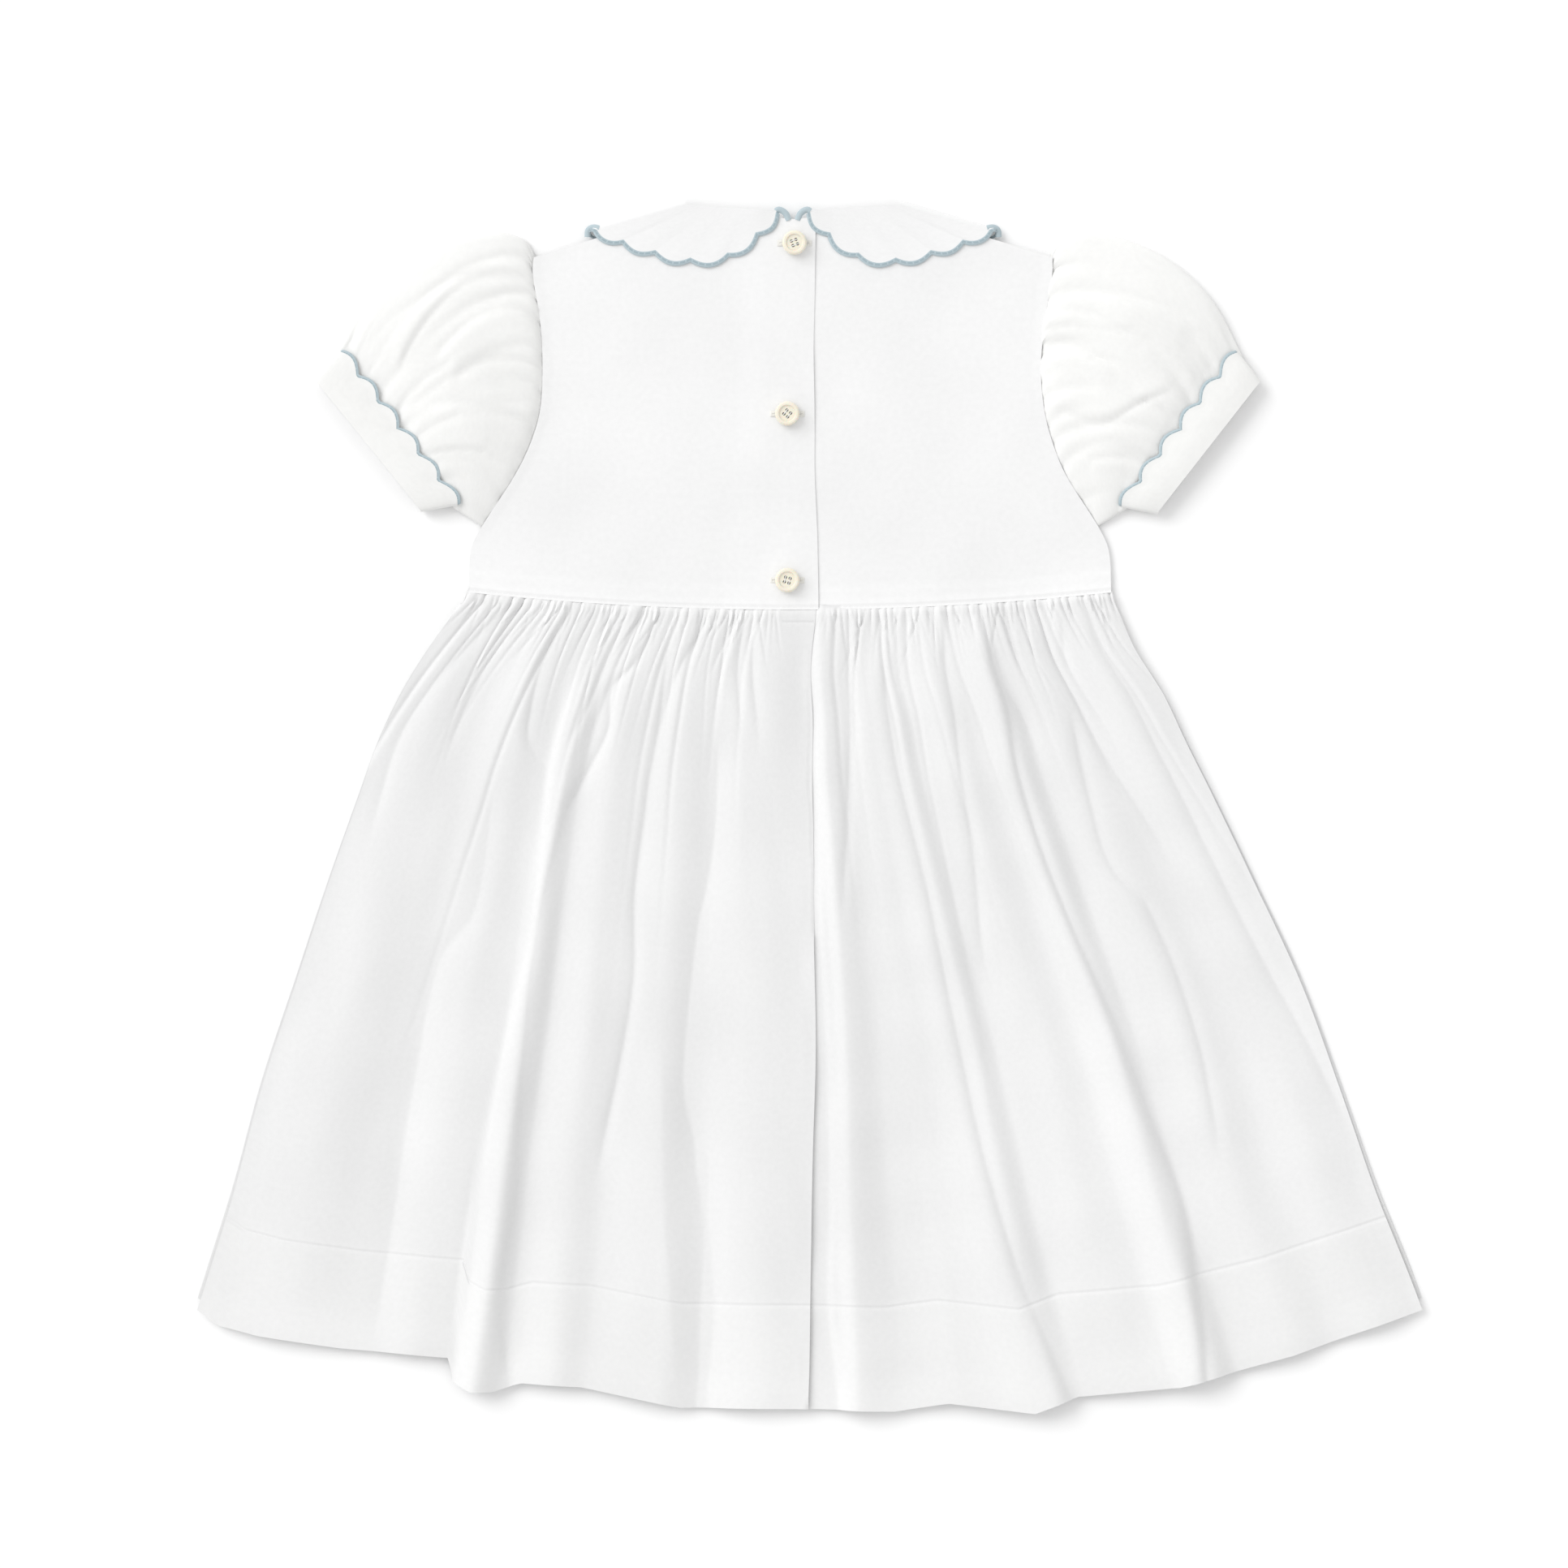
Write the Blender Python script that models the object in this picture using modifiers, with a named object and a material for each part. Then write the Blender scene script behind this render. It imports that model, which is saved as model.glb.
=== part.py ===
"""Toddler dress with puff sleeves, a scalloped two-piece collar and a buttoned back, laid flat back side up.

Plan: +X is the wearer's right-hand side of the picture, +Y points to the neck, +Z is up.  The tables
hold millimetres and the scene holds metres.  The front lies on the ground, the back lies on the front,
and every piece is a wall of cloth one LAYER above the piece under it.
"""

import math

import bmesh
import bpy

MM = 0.001

# Cloth and stacking
CLOTH = 1.2               # one wall of cloth
GAP = 0.3                 # air between two pieces
LAYER = CLOTH + GAP       # one step up the stack
HEM_CLOTH = 1.8           # doubled cloth of the turned-up hem
CUFF_CLOTH = 1.6          # doubled cloth of a turned-back cuff
SEAM = 0.5 * GAP          # each piece stops this far short of the seam line

# Bodice
CENTRE_X = -7.1           # centre line of the bodice
WAIST_Y = 92.8            # ends of the waist seam
WAIST_SAG = 7.4           # its middle lies this much lower
SHOULDER_Y = 237.3
SHOULDER_HALF = 111.7     # centre line to the shoulder point
NECK_HALF = 46.3          # centre line to the neck point
NECK_Y = 257.3
FRONT_NECK_DEPTH = 52.0
BACK_EDGE = 0.544         # the left back ends here, as a share of the width
UNDERLAP_EDGE = 0.455     # the right back ends here, under the left one
LEFT_COLUMNS = 14
PLACKET_STEP = (BACK_EDGE * 10 / LEFT_COLUMNS, BACK_EDGE * 11 / LEFT_COLUMNS)   # the left back climbs here
CHEST_STEP = (105.0, 158.0)      # the bodice climbs onto the front collar between these y

BODICE_SIDES = (
    # y, left x, right x: side seam from the waist, then the armhole up to the shoulder
    (92.8, -146.5, 130.0),
    (110.6, -146.1, 129.0),
    (120.1, -141.9, 125.1),
    (143.5, -126.9, 110.4),
    (157.9, -119.9, 104.5),
    (171.9, -116.0, 101.0),
    (189.7, -115.0, 99.6),
    (209.3, -116.0, 101.3),
    (230.0, -119.2, 104.5),
    (237.3, -118.8, 104.6),
)

BACK_NECK = (
    # distance from the centre line, y: half of the back neckline
    (0.0, 253.6),
    (7.8, 254.5),
    (26.9, 256.5),
    (46.3, 257.3),
)

# Skirt
SKIRT_SIDES = (
    # y, left x, right x
    (-216.0, -263.7, 263.9),
    (-200.0, -258.7, 257.9),
    (-165.0, -248.0, 243.9),
    (-120.0, -236.0, 228.3),
    (-75.0, -221.3, 211.7),
    (-30.0, -206.5, 190.8),
    (7.0, -193.5, 173.0),
    (28.0, -186.0, 162.5),
    (50.0, -175.7, 152.0),
    (70.0, -163.5, 139.5),
    (92.8, -146.9, 130.0),
)

HEM_EDGE = (
    # x, y of the back's lower edge, with the step where the main fold laps over
    (-263.7, -216.0),
    (-254.6, -222.6),
    (-237.1, -227.2),
    (-202.5, -232.4),
    (-155.6, -236.6),
    (-153.0, -247.1),
    (-145.8, -251.0),
    (-136.3, -251.0),
    (-124.1, -247.5),
    (-98.2, -249.2),
    (-56.2, -258.0),
    (0.0, -258.6),
    (36.6, -259.7),
    (60.0, -256.2),
    (97.0, -260.4),
    (115.3, -253.4),
    (159.8, -249.2),
    (208.1, -235.6),
    (263.9, -216.0),
)

SKIRT_ROWS = (0.0, 0.04, 0.12, 0.22, 0.33, 0.45, 0.57, 0.68, 0.78, 0.862, 0.872, 0.935, 1.0)
HEM_FROM = 0.867          # the turned-up hem starts at this share of the length
WAIST_FADE = 0.14         # folds grow to full height over this share of the length
FRONT_HEM_LIFT = 5.0      # the front's hem stays this far inside the back's

LEFT_FOLDS = (
    # line down the left back, share of width at the waist and at the hem, rise high up and low down
    ("side", 0.000, 0.000, 0.0, 0.0),
    ("side swell", 0.050, 0.070, 1.6, 2.3),
    ("outer valley", 0.100, 0.142, 0.3, 0.2),
    ("outer swell", 0.160, 0.176, 2.3, 2.0),
    ("main crease", 0.205, 0.208, 0.7, 0.7),
    ("main fold", 0.232, 0.226, 3.9, 5.2),
    ("main valley", 0.254, 0.250, 0.3, 0.3),
    ("middle swell", 0.290, 0.290, 2.0, 2.6),
    ("fine crease", 0.335, 0.318, 0.7, 1.0),
    ("wide swell", 0.370, 0.375, 2.6, 2.9),
    ("wide valley", 0.420, 0.412, 0.7, 0.3),
    ("edge swell", 0.480, 0.460, 1.6, 1.6),
    ("back edge", 0.541, 0.4995, 0.0, 0.0),
)

RIGHT_FOLDS = (
    ("underlap edge", 0.460, 0.460, 0.0, 0.0),
    ("underlap", 0.500, 0.488, 0.0, 0.0),
    ("slit foot", 0.548, 0.512, 0.0, 0.0),
    ("slit ridge", 0.562, 0.534, 2.3, 3.6),
    ("inner valley", 0.585, 0.580, 0.7, 0.7),
    ("inner swell", 0.612, 0.630, 2.3, 2.0),
    ("second fold", 0.640, 0.700, 3.2, 4.2),
    ("second valley", 0.662, 0.724, 0.3, 0.3),
    ("third swell", 0.712, 0.768, 2.6, 1.6),
    ("third valley", 0.745, 0.795, 0.7, 1.0),
    ("main fold", 0.785, 0.826, 3.9, 5.2),
    ("main valley", 0.810, 0.850, 0.3, 0.3),
    ("outer swell", 0.850, 0.895, 2.6, 2.3),
    ("outer valley", 0.900, 0.928, 0.7, 0.3),
    ("side swell", 0.945, 0.965, 2.3, 2.0),
    ("side", 1.000, 1.000, 0.0, 0.0),
)
COLUMNS_PER_FOLD = 2
PLACKET_LAP = (0.435, 0.455)     # the left skirt climbs onto the right one's underlap here

# Sleeves and cuffs
SLEEVE_HEAD = (
    # share of the head's length, left x and y, right x and y
    (0.064, -121.6, 244.0, 106.2, 243.8),
    (0.120, -126.9, 247.1, 111.4, 246.7),
    (0.200, -135.6, 248.5, 120.0, 248.1),
    (0.360, -153.5, 245.4, 137.2, 244.9),
    (0.550, -171.3, 235.2, 155.8, 235.8),
    (0.770, -189.5, 219.1, 173.2, 219.2),
)
UNDERARM_Y = 120.6
CUFF_SEAM = (((-202.8, 197.4), (-150.7, 129.9)), ((185.0, 197.1), (133.5, 129.2)))
CUFF_END = (((-213.0, 184.8), (-166.4, 127.4)), ((194.4, 184.5), (148.9, 126.4)))
ARMHOLE_GAP = 1.4
SLEEVE_PUFF = (
    # share of the way from armhole to cuff, hollow height
    (0.0, 5.0),
    (0.12, 8.0),
    (0.30, 11.0),
    (0.50, 12.5),
    (0.72, 11.0),
    (0.90, 7.5),
    (1.0, 5.0),
)
SLEEVE_RING = 20
SLEEVE_ROWS = 9
CUFF_HOLLOW = 5.0
CUFF_SCALLOPS = 6         # along one face of the cuff
CUFF_LOBE = 2.6

# Collar
COLLAR_LOBE = 2.6
EDGING_WIDTH = 2.0
COLLAR_CLEARANCE = 3.0           # the collar stays high this far past the placket's step
COLLAR_START = (7.4, 14.0)       # centre line to the collar's back end: left, right
COLLAR_BACK_EDGE = (
    # scallops from the back end, distance from the centre line, y: where two scallops meet
    (0, 7.4, 252.9),
    (1, 16.4, 247.6),
    (2, 28.4, 239.4),
    (3, 44.2, 237.3),
    (4, 59.2, 240.5),
    (5, 72.9, 244.4),
    (6, 83.6, 246.0),
)
COLLAR_FRONT_SCALLOPS = 10
COLLAR_FRONT_REACH = 84.0        # neck centre to the front collar's edge
COLLAR_FRONT_END = 66.0          # the same at its centre-front end
SHOULDER_ANGLE = math.radians(187.5)
FRONT_END_ANGLE = math.radians(263.2)
FRONT_NECK_END = math.radians(84.5)
RIBS_PER_SCALLOP = 4
WRAP_RIBS = 4

# Buttons
BUTTONS = (
    # name, x, y, turn in degrees
    ("button_top", -6.5, 243.3, 20.0),
    ("button_middle", -9.6, 169.8, 52.0),
    ("button_bottom", -9.6, 98.2, 75.0),
)
BUTTON_PROFILE = (
    # radius, height: dished top, raised rim, rounded side, flat back
    (0.0, 1.6),
    (3.3, 1.6),
    (3.8, 2.3),
    (4.6, 2.3),
    (5.25, 1.6),
    (5.25, 0.6),
    (4.7, 0.0),
    (0.0, 0.0),
)
BUTTON_STEPS = 24
BUTTON_HOLE_RADIUS = 0.75
BUTTON_HOLE_SPREAD = 1.45

FINISHES = {
    # name: colour, roughness
    "white_cotton": ((0.86, 0.86, 0.85, 1.0), 0.85),
    "blue_edging": ((0.40, 0.53, 0.63, 1.0), 0.75),
    "ivory_button": ((0.80, 0.76, 0.68, 1.0), 0.35),
}


# ---------------------------------------------------------------- curves and tables

def mix(a, b, share):
    """Number between a and b."""
    return a + (b - a) * share


def mix_points(a, b, share):
    """Point between a and b."""
    return tuple(mix(p, q, share) for p, q in zip(a, b))


def unit_mix(a, b, share):
    """Unit direction between two plan directions."""
    x, y = mix_points(a, b, share)
    length = math.hypot(x, y)
    return x / length, y / length


def ramp(start, end, value):
    """0 before start, 1 after end, and a straight slope between."""
    return min(max((value - start) / (end - start), 0.0), 1.0)


def ease(start, end, value):
    """0 before start, 1 after end, and a smooth step between."""
    share = ramp(start, end, value)
    return share * share * (3.0 - 2.0 * share)


def segment(rows, at):
    """Index of the row under `at`, in rows that rise in column 0."""
    last = len(rows) - 2
    return max([i for i in range(last + 1) if rows[i][0] <= at], default=0)


def straight(rows, at, column=1):
    """Value of a column at `at`, on straight lines through the rows."""
    i = segment(rows, at)
    share = (at - rows[i][0]) / (rows[i + 1][0] - rows[i][0])
    return mix(rows[i][column], rows[i + 1][column], min(max(share, 0.0), 1.0))


def smooth(rows, at, column=1):
    """Value of a column at `at`, on a smooth curve through the rows."""
    i = segment(rows, at)

    def slope(k):
        before, after = rows[max(k - 1, 0)], rows[min(k + 1, len(rows) - 1)]
        return (after[column] - before[column]) / (after[0] - before[0])

    step = rows[i + 1][0] - rows[i][0]
    s = min(max((at - rows[i][0]) / step, 0.0), 1.0)
    return ((2 * s**3 - 3 * s**2 + 1) * rows[i][column] + (s**3 - 2 * s**2 + s) * step * slope(i)
            + (3 * s**2 - 2 * s**3) * rows[i + 1][column] + (s**3 - s**2) * step * slope(i + 1))


def lobe(scallops):
    """Reach of a scalloped edge, 0 where two scallops meet and 1 at a scallop's middle."""
    return abs(math.sin(math.pi * scallops))


# ---------------------------------------------------------------- plan of the bodice and skirt

def waist_y(across):
    """Waist seam: its ends are high and its middle sags."""
    return WAIST_Y - WAIST_SAG * (1.0 - (2.0 * across - 1.0) ** 2)


def back_top_y(x):
    """Back neckline and straight shoulder."""
    distance = abs(x - CENTRE_X)
    if distance > NECK_HALF:
        return mix(NECK_Y, SHOULDER_Y, ramp(NECK_HALF, SHOULDER_HALF, distance))
    return smooth(BACK_NECK, distance)


def front_top_y(x):
    """Front neckline, half an ellipse, and the same shoulder."""
    share = abs(x - CENTRE_X) / NECK_HALF
    if share >= 1.0:
        return back_top_y(x)
    return NECK_Y - FRONT_NECK_DEPTH * math.sqrt(1.0 - share * share)


def bodice_point(across, up, top_y):
    """Plan point of the bodice, across from left to right and up from waist to neck."""
    side_y = mix(WAIST_Y, SHOULDER_Y, up)
    x = mix(smooth(BODICE_SIDES, side_y, 1), smooth(BODICE_SIDES, side_y, 2), across)
    top_x = CENTRE_X + mix(-SHOULDER_HALF, SHOULDER_HALF, across)
    return x, mix(waist_y(across) + SEAM, top_y(top_x), up)


def chest_lift(y):
    """The bodice lies on the ground at the waist and on the front collar at the chest."""
    return LAYER * ease(*CHEST_STEP, y)


def left_back_level(across, y):
    """Underside of the left back, which climbs onto the right back at the placket."""
    return chest_lift(y) + LAYER + LAYER * ramp(*PLACKET_STEP, across)


def skirt_point(across, down, hem_lift=0.0):
    """Plan point of the skirt, across from left to right and down from waist to hem."""
    side_y = mix(WAIST_Y, SKIRT_SIDES[0][0], down)
    x = mix(smooth(SKIRT_SIDES, side_y, 1), smooth(SKIRT_SIDES, side_y, 2), across)
    hem_x = mix(HEM_EDGE[0][0], HEM_EDGE[-1][0], across)
    return x, mix(waist_y(across) - SEAM, straight(HEM_EDGE, hem_x) + hem_lift, down)


def fold_line(folds, column, down):
    """Share of width and rise of the fold line at a column, between its two nearest named lines."""
    i = min(int(column), len(folds) - 2)
    lean = ease(0.0, 1.0, column - i)
    at = [mix(fold[1], fold[2], down) for fold in folds[i:i + 2]]
    rise = [mix(fold[3], fold[4], ease(0.1, 0.9, down)) for fold in folds[i:i + 2]]
    return mix(at[0], at[1], column - i), mix(rise[0], rise[1], lean) * ease(0.0, WAIST_FADE, down)


# ---------------------------------------------------------------- making objects

def clear_scene():
    """Start from an empty scene."""
    for old in list(bpy.data.objects):
        bpy.data.objects.remove(old, do_unlink=True)


def make_finish(name):
    """Principled material of one finish."""
    colour, roughness = FINISHES[name]
    material = bpy.data.materials.new(name)
    material.use_nodes = True
    shader = material.node_tree.nodes["Principled BSDF"]
    shader.inputs["Base Color"].default_value = colour
    shader.inputs["Roughness"].default_value = roughness
    shader.inputs["Metallic"].default_value = 0.0
    material.diffuse_color = colour
    return material


def new_collection(name):
    """Collection linked to the scene."""
    made = bpy.data.collections.new(name)
    bpy.context.scene.collection.children.link(made)
    return made


def add_object(name, bm, finish, collection):
    """Named object from a bmesh, which is freed."""
    mesh = bpy.data.meshes.new(name)
    bm.to_mesh(mesh)
    bm.free()
    mesh.materials.append(finish)
    made = bpy.data.objects.new(name, mesh)
    collection.objects.link(made)
    return made


def thicken(made, thickness, even=True):
    """Give a sheet its wall, on the side that its faces look to."""
    wall = made.modifiers.new("cloth", "SOLIDIFY")
    wall.thickness = thickness * MM
    wall.offset = 1.0
    wall.use_even_offset = even
    wall.use_quality_normals = True
    return wall


def shaped_grid(columns, rows, place):
    """Grid whose points are placed by place(across, along), both from 0 to 1, in millimetres."""
    bm = bmesh.new()
    bmesh.ops.create_grid(bm, x_segments=columns, y_segments=rows, size=0.5)
    for vert in bm.verts:
        x, y, z = place(vert.co.x + 0.5, vert.co.y + 0.5)
        vert.co = (x * MM, y * MM, z * MM)
    bm.normal_update()
    return bm


def panel(name, columns, rows, place, finish, collection, up=True):
    """Flat piece of cloth: a shaped grid, one wall thick on its upper or lower side."""
    bm = shaped_grid(columns, rows, place)
    if (sum(face.normal.z * face.calc_area() for face in bm.faces) > 0.0) != up:
        bmesh.ops.reverse_faces(bm, faces=bm.faces)
    made = add_object(name, bm, finish, collection)
    thicken(made, CLOTH)
    return made


def ring(name, around, rows, place, thickness, finish, collection):
    """Flattened tube of cloth, whose hollow is given by place(turn, along) and wall lies outside it."""
    bm = shaped_grid(around, rows, place)
    bmesh.ops.remove_doubles(bm, verts=bm.verts, dist=0.00001)
    middle_z = sum(vert.co.z for vert in bm.verts) / len(bm.verts)
    bm.normal_update()
    outward = sum((face.calc_center_median().z - middle_z) * face.normal.z for face in bm.faces)
    if outward < 0.0:
        bmesh.ops.reverse_faces(bm, faces=bm.faces)
    made = add_object(name, bm, finish, collection)
    thicken(made, thickness)
    return made


# ---------------------------------------------------------------- the cut pieces

def make_bodice(finish, collection):
    """Front on the ground, right back on it, left back on both at the placket."""

    def front(across, up):
        x, y = bodice_point(across, up, front_top_y)
        return x, y, chest_lift(y)

    def right(across, up):
        x, y = bodice_point(mix(UNDERLAP_EDGE, 1.0, across), up, back_top_y)
        return x, y, chest_lift(y) + LAYER

    def left(across, up):
        share = mix(0.0, BACK_EDGE, across)
        x, y = bodice_point(share, up, back_top_y)
        return x, y, left_back_level(share, y)

    panel("front_bodice", 18, 10, front, finish, collection)
    panel("back_bodice_right", 8, 10, right, finish, collection)
    panel("back_bodice_left", LEFT_COLUMNS, 10, left, finish, collection)


def make_skirt_back(name, folds, lap, finish, collection):
    """One half of the gathered back skirt, with its main folds and its doubled hem."""
    columns = COLUMNS_PER_FOLD * (len(folds) - 1)
    rows = len(SKIRT_ROWS) - 1

    def place(across, along):
        down = SKIRT_ROWS[round(along * rows)]
        share, rise = fold_line(folds, across * (len(folds) - 1), down)
        return *skirt_point(share, down), LAYER + lap(share) + rise

    made = panel(name, columns, rows, place, finish, collection)
    walls = made.vertex_groups.new(name="walls")
    for vert in made.data.vertices:
        in_hem = SKIRT_ROWS[vert.index // (columns + 1)] > HEM_FROM
        walls.add([vert.index], 1.0 if in_hem else CLOTH / HEM_CLOTH, "REPLACE")
    made.modifiers["cloth"].thickness = HEM_CLOTH * MM
    made.modifiers["cloth"].vertex_group = walls.name


def make_skirt(finish, collection):
    """Plain front panel and the two back halves, the left one lapped over the right."""

    def front(across, down):
        return *skirt_point(across, down, FRONT_HEM_LIFT), 0.0

    panel("front_skirt", 14, 10, front, finish, collection)
    make_skirt_back("back_skirt_left", LEFT_FOLDS, lambda share: (HEM_CLOTH + GAP) * ease(*PLACKET_LAP, share),
                    finish, collection)
    make_skirt_back("back_skirt_right", RIGHT_FOLDS, lambda share: 0.0, finish, collection)


def sleeve_plan(side, along, under):
    """Plan point of a sleeve: along from armhole to cuff, under from its head to its under edge."""
    outward = (-1.0, 1.0)[side]

    def armhole(share):
        y = mix(SHOULDER_Y - CLOTH, UNDERARM_Y, share)
        return smooth(BODICE_SIDES, y, 1 + side) + outward * ARMHOLE_GAP, y

    def cuff(share):
        seam, end = (mix_points(*line[side], share) for line in (CUFF_SEAM, CUFF_END))
        length = math.dist(seam, end)
        return mix_points(end, seam, 1.0 + (CUFF_LOBE + GAP + CLOTH) / length)

    def head(share):
        rows = [(row[0], *row[1 + 2 * side:3 + 2 * side]) for row in SLEEVE_HEAD]
        rows = [(0.0, *armhole(0.0)), *rows, (1.0, *cuff(0.0))]
        return smooth(rows, share, 1), smooth(rows, share, 2)

    across = mix_points(armhole(under), cuff(under), along)
    down = mix_points(head(along), mix_points(armhole(1.0), cuff(1.0), along), under)
    corners = mix_points(mix_points(armhole(0.0), armhole(1.0), under),
                         mix_points(cuff(0.0), cuff(1.0), under), along)
    return tuple(a + b - c for a, b, c in zip(across, down, corners))


def make_sleeve(side, finish, collection):
    """Puffed tube from the armhole to the cuff, flat below and domed above."""
    name = ("sleeve_left", "sleeve_right")[side]

    def place(turn, along):
        angle = 2.0 * math.pi * turn
        under = 0.5 - 0.5 * math.cos(angle)
        x, y = sleeve_plan(side, along, mix(0.012, 0.988, under))
        hollow = smooth(SLEEVE_PUFF, along)
        middle = CLOTH + 0.28 * min(hollow, 5.0)
        if angle < math.pi:
            z = mix(middle, CLOTH + hollow, math.sin(angle) ** 0.8)
        else:
            z = mix(middle, CLOTH, abs(math.sin(angle)) ** 0.3)
        return x, y, z

    ring(name, SLEEVE_RING, SLEEVE_ROWS, place, CLOTH, finish, collection)


def make_cuff(side, cotton, edging, collection):
    """Turned-back cuff with a scalloped edge, and the blue edging round that edge."""
    suffix = ("left", "right")[side]

    def section(turn, reach_from, reach_to, along):
        angle = 2.0 * math.pi * turn
        share = mix(0.03, 0.97, 0.5 - 0.5 * math.cos(angle))
        end, seam = (mix_points(*line[side], share) for line in (CUFF_END, CUFF_SEAM))
        width = math.dist(end, seam)
        scallop = CUFF_LOBE * lobe(CUFF_SCALLOPS * share)
        reach = mix(reach_from(width, scallop), reach_to(width, scallop), along)
        x, y = mix_points(end, seam, reach / width)
        bulge = math.copysign(abs(math.sin(angle)) ** 0.5, math.sin(angle))
        return x, y, CUFF_CLOTH + 0.5 * CUFF_HOLLOW * (1.0 + bulge)

    def cuff_from(width, scallop):
        return 0.0

    def cuff_to(width, scallop):
        return width + scallop - EDGING_WIDTH - GAP

    def edging_from(width, scallop):
        return width + scallop - EDGING_WIDTH

    def edging_to(width, scallop):
        return width + scallop

    around = 2 * CUFF_SCALLOPS * RIBS_PER_SCALLOP
    ring("cuff_" + suffix, around, 2, lambda turn, along: section(turn, cuff_from, cuff_to, along),
         CUFF_CLOTH, cotton, collection)
    ring("cuff_edging_" + suffix, around, 1,
         lambda turn, along: section(turn, edging_from, edging_to, along),
         CUFF_CLOTH, edging, collection)


def plan_normals(points):
    """Directions square to a line of plan points, on the side away from the neck."""
    normals = []
    for i in range(len(points)):
        before, after = points[max(i - 1, 0)], points[min(i + 1, len(points) - 1)]
        length = math.dist(before[:2], after[:2])
        normals.append(((after[1] - before[1]) / length, (before[0] - after[0]) / length))
    return normals


def collar_back(side):
    """Neck points, edge points and scallop reaches of the collar on the back, from its end to the shoulder.

    The edge's height is None, because it is that of the back under the finished rim.
    """
    start = COLLAR_START[side]
    shift = start - COLLAR_START[0]
    scallops = COLLAR_BACK_EDGE[-1][0]
    count = scallops * RIBS_PER_SCALLOP
    necks, edges, reaches = [], [], []
    for i in range(count + 1):
        at = scallops * i / count
        neck_x = mix(start + 1.5, NECK_HALF, i / count)
        edge_x = smooth(COLLAR_BACK_EDGE, at, 1) + shift * max(1.0 - 0.5 * at, 0.0)
        necks.append((neck_x, smooth(BACK_NECK, neck_x) - GAP, back_collar_level(side, neck_x)))
        edges.append((edge_x, smooth(COLLAR_BACK_EDGE, at, 2), None))
        reaches.append(lobe(at))
    return necks, edges, reaches


def back_collar_level(side, distance):
    """Underside of the collar on the back, which lies on the left back's placket near the centre."""
    across = 0.5 - 0.5 * (distance - COLLAR_CLEARANCE) / SHOULDER_HALF
    climb = ramp(*PLACKET_STEP, across) if side == 0 else 0.0
    return chest_lift(NECK_Y) + LAYER * (2.0 + climb)


def collar_wrap():
    """Neck points, edge points and reaches of the collar's turn round the shoulder."""
    neck, edge = (NECK_HALF, NECK_Y), COLLAR_BACK_EDGE[-1][1:]
    length = math.dist(neck, edge)
    over = ((neck[1] - edge[1]) / length, (edge[0] - neck[0]) / length)
    radius = 0.5 * (chest_lift(NECK_Y) + 2.0 * LAYER - CLOTH)
    necks, edges, reaches = [], [], []
    for i in range(WRAP_RIBS + 1):
        angle = math.pi * i / WRAP_RIBS
        out = GAP + radius * math.sin(angle)
        z = CLOTH + radius * (1.0 + math.cos(angle))
        necks.append((neck[0] + over[0] * out, neck[1] + over[1] * out, z))
        edges.append((edge[0] + over[0] * out, edge[1] + over[1] * out, z))
        reaches.append(math.sin(angle))
    return necks, edges, reaches


def collar_front():
    """Neck points, edge points and reaches of the collar under the front, from the shoulder to its end."""
    count = COLLAR_FRONT_SCALLOPS * RIBS_PER_SCALLOP
    necks, edges, reaches = [], [], []
    for i in range(1, count + 1):
        share = i / count
        turn = FRONT_NECK_END * share
        angle = mix(SHOULDER_ANGLE, FRONT_END_ANGLE, share)
        reach = mix(COLLAR_FRONT_END, COLLAR_FRONT_REACH, math.sqrt(1.0 - share ** 6))
        necks.append((NECK_HALF * math.cos(turn), NECK_Y - FRONT_NECK_DEPTH * math.sin(turn), CLOTH))
        edges.append((-reach * math.cos(angle), NECK_Y + reach * math.sin(angle), CLOTH))
        reaches.append(lobe(COLLAR_FRONT_SCALLOPS * share))
    return necks, edges, reaches


def make_collar(side, cotton, edging, collection):
    """Collar half folded over the shoulder, and the blue edging along its scalloped edge."""
    suffix = ("left", "right")[side]
    mirror = (-1.0, 1.0)[side]
    back, wrap, front = collar_back(side), collar_wrap(), collar_front()
    shoulder = plan_normals([wrap[1][0], wrap[1][WRAP_RIBS // 2]])[0]
    turned = [unit_mix(normal, shoulder, ease(len(back[1]) - 1 - RIBS_PER_SCALLOP, len(back[1]) - 1, i))
              for i, normal in enumerate(plan_normals(back[1]))]
    under = [(-x, -y) for x, y in plan_normals(front[1])]
    normals = turned + [shoulder] * len(wrap[1]) + under
    necks, edges, reaches = (first + second + third for first, second, third in zip(back, wrap, front))

    def rim(i, beyond):
        reach = COLLAR_LOBE * reaches[i] + beyond
        x, y = (edges[i][axis] + normals[i][axis] * reach for axis in (0, 1))
        return x, y, back_collar_level(side, x) if edges[i][2] is None else edges[i][2]

    def on_side(point):
        return CENTRE_X + mirror * point[0], point[1], point[2]

    def collar_place(along, out):
        i = round(along * (len(edges) - 1))
        return on_side(mix_points(necks[i], rim(i, -2.0 * GAP), out))

    def edging_place(along, out):
        return on_side(rim(round(along * (len(edges) - 1)), EDGING_WIDTH * out))

    for name, rows, place, finish in (("collar_" + suffix, 2, collar_place, cotton),
                                      ("collar_edging_" + suffix, 1, edging_place, edging)):
        bm = shaped_grid(len(edges) - 1, rows, place)
        upper = [face for face in bm.faces if face.calc_center_median().z > 2.0 * LAYER * MM]
        if sum(face.normal.z for face in upper) < 0.0:
            bmesh.ops.reverse_faces(bm, faces=bm.faces)
        thicken(add_object(name, bm, finish, collection), CLOTH, even=False)


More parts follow.
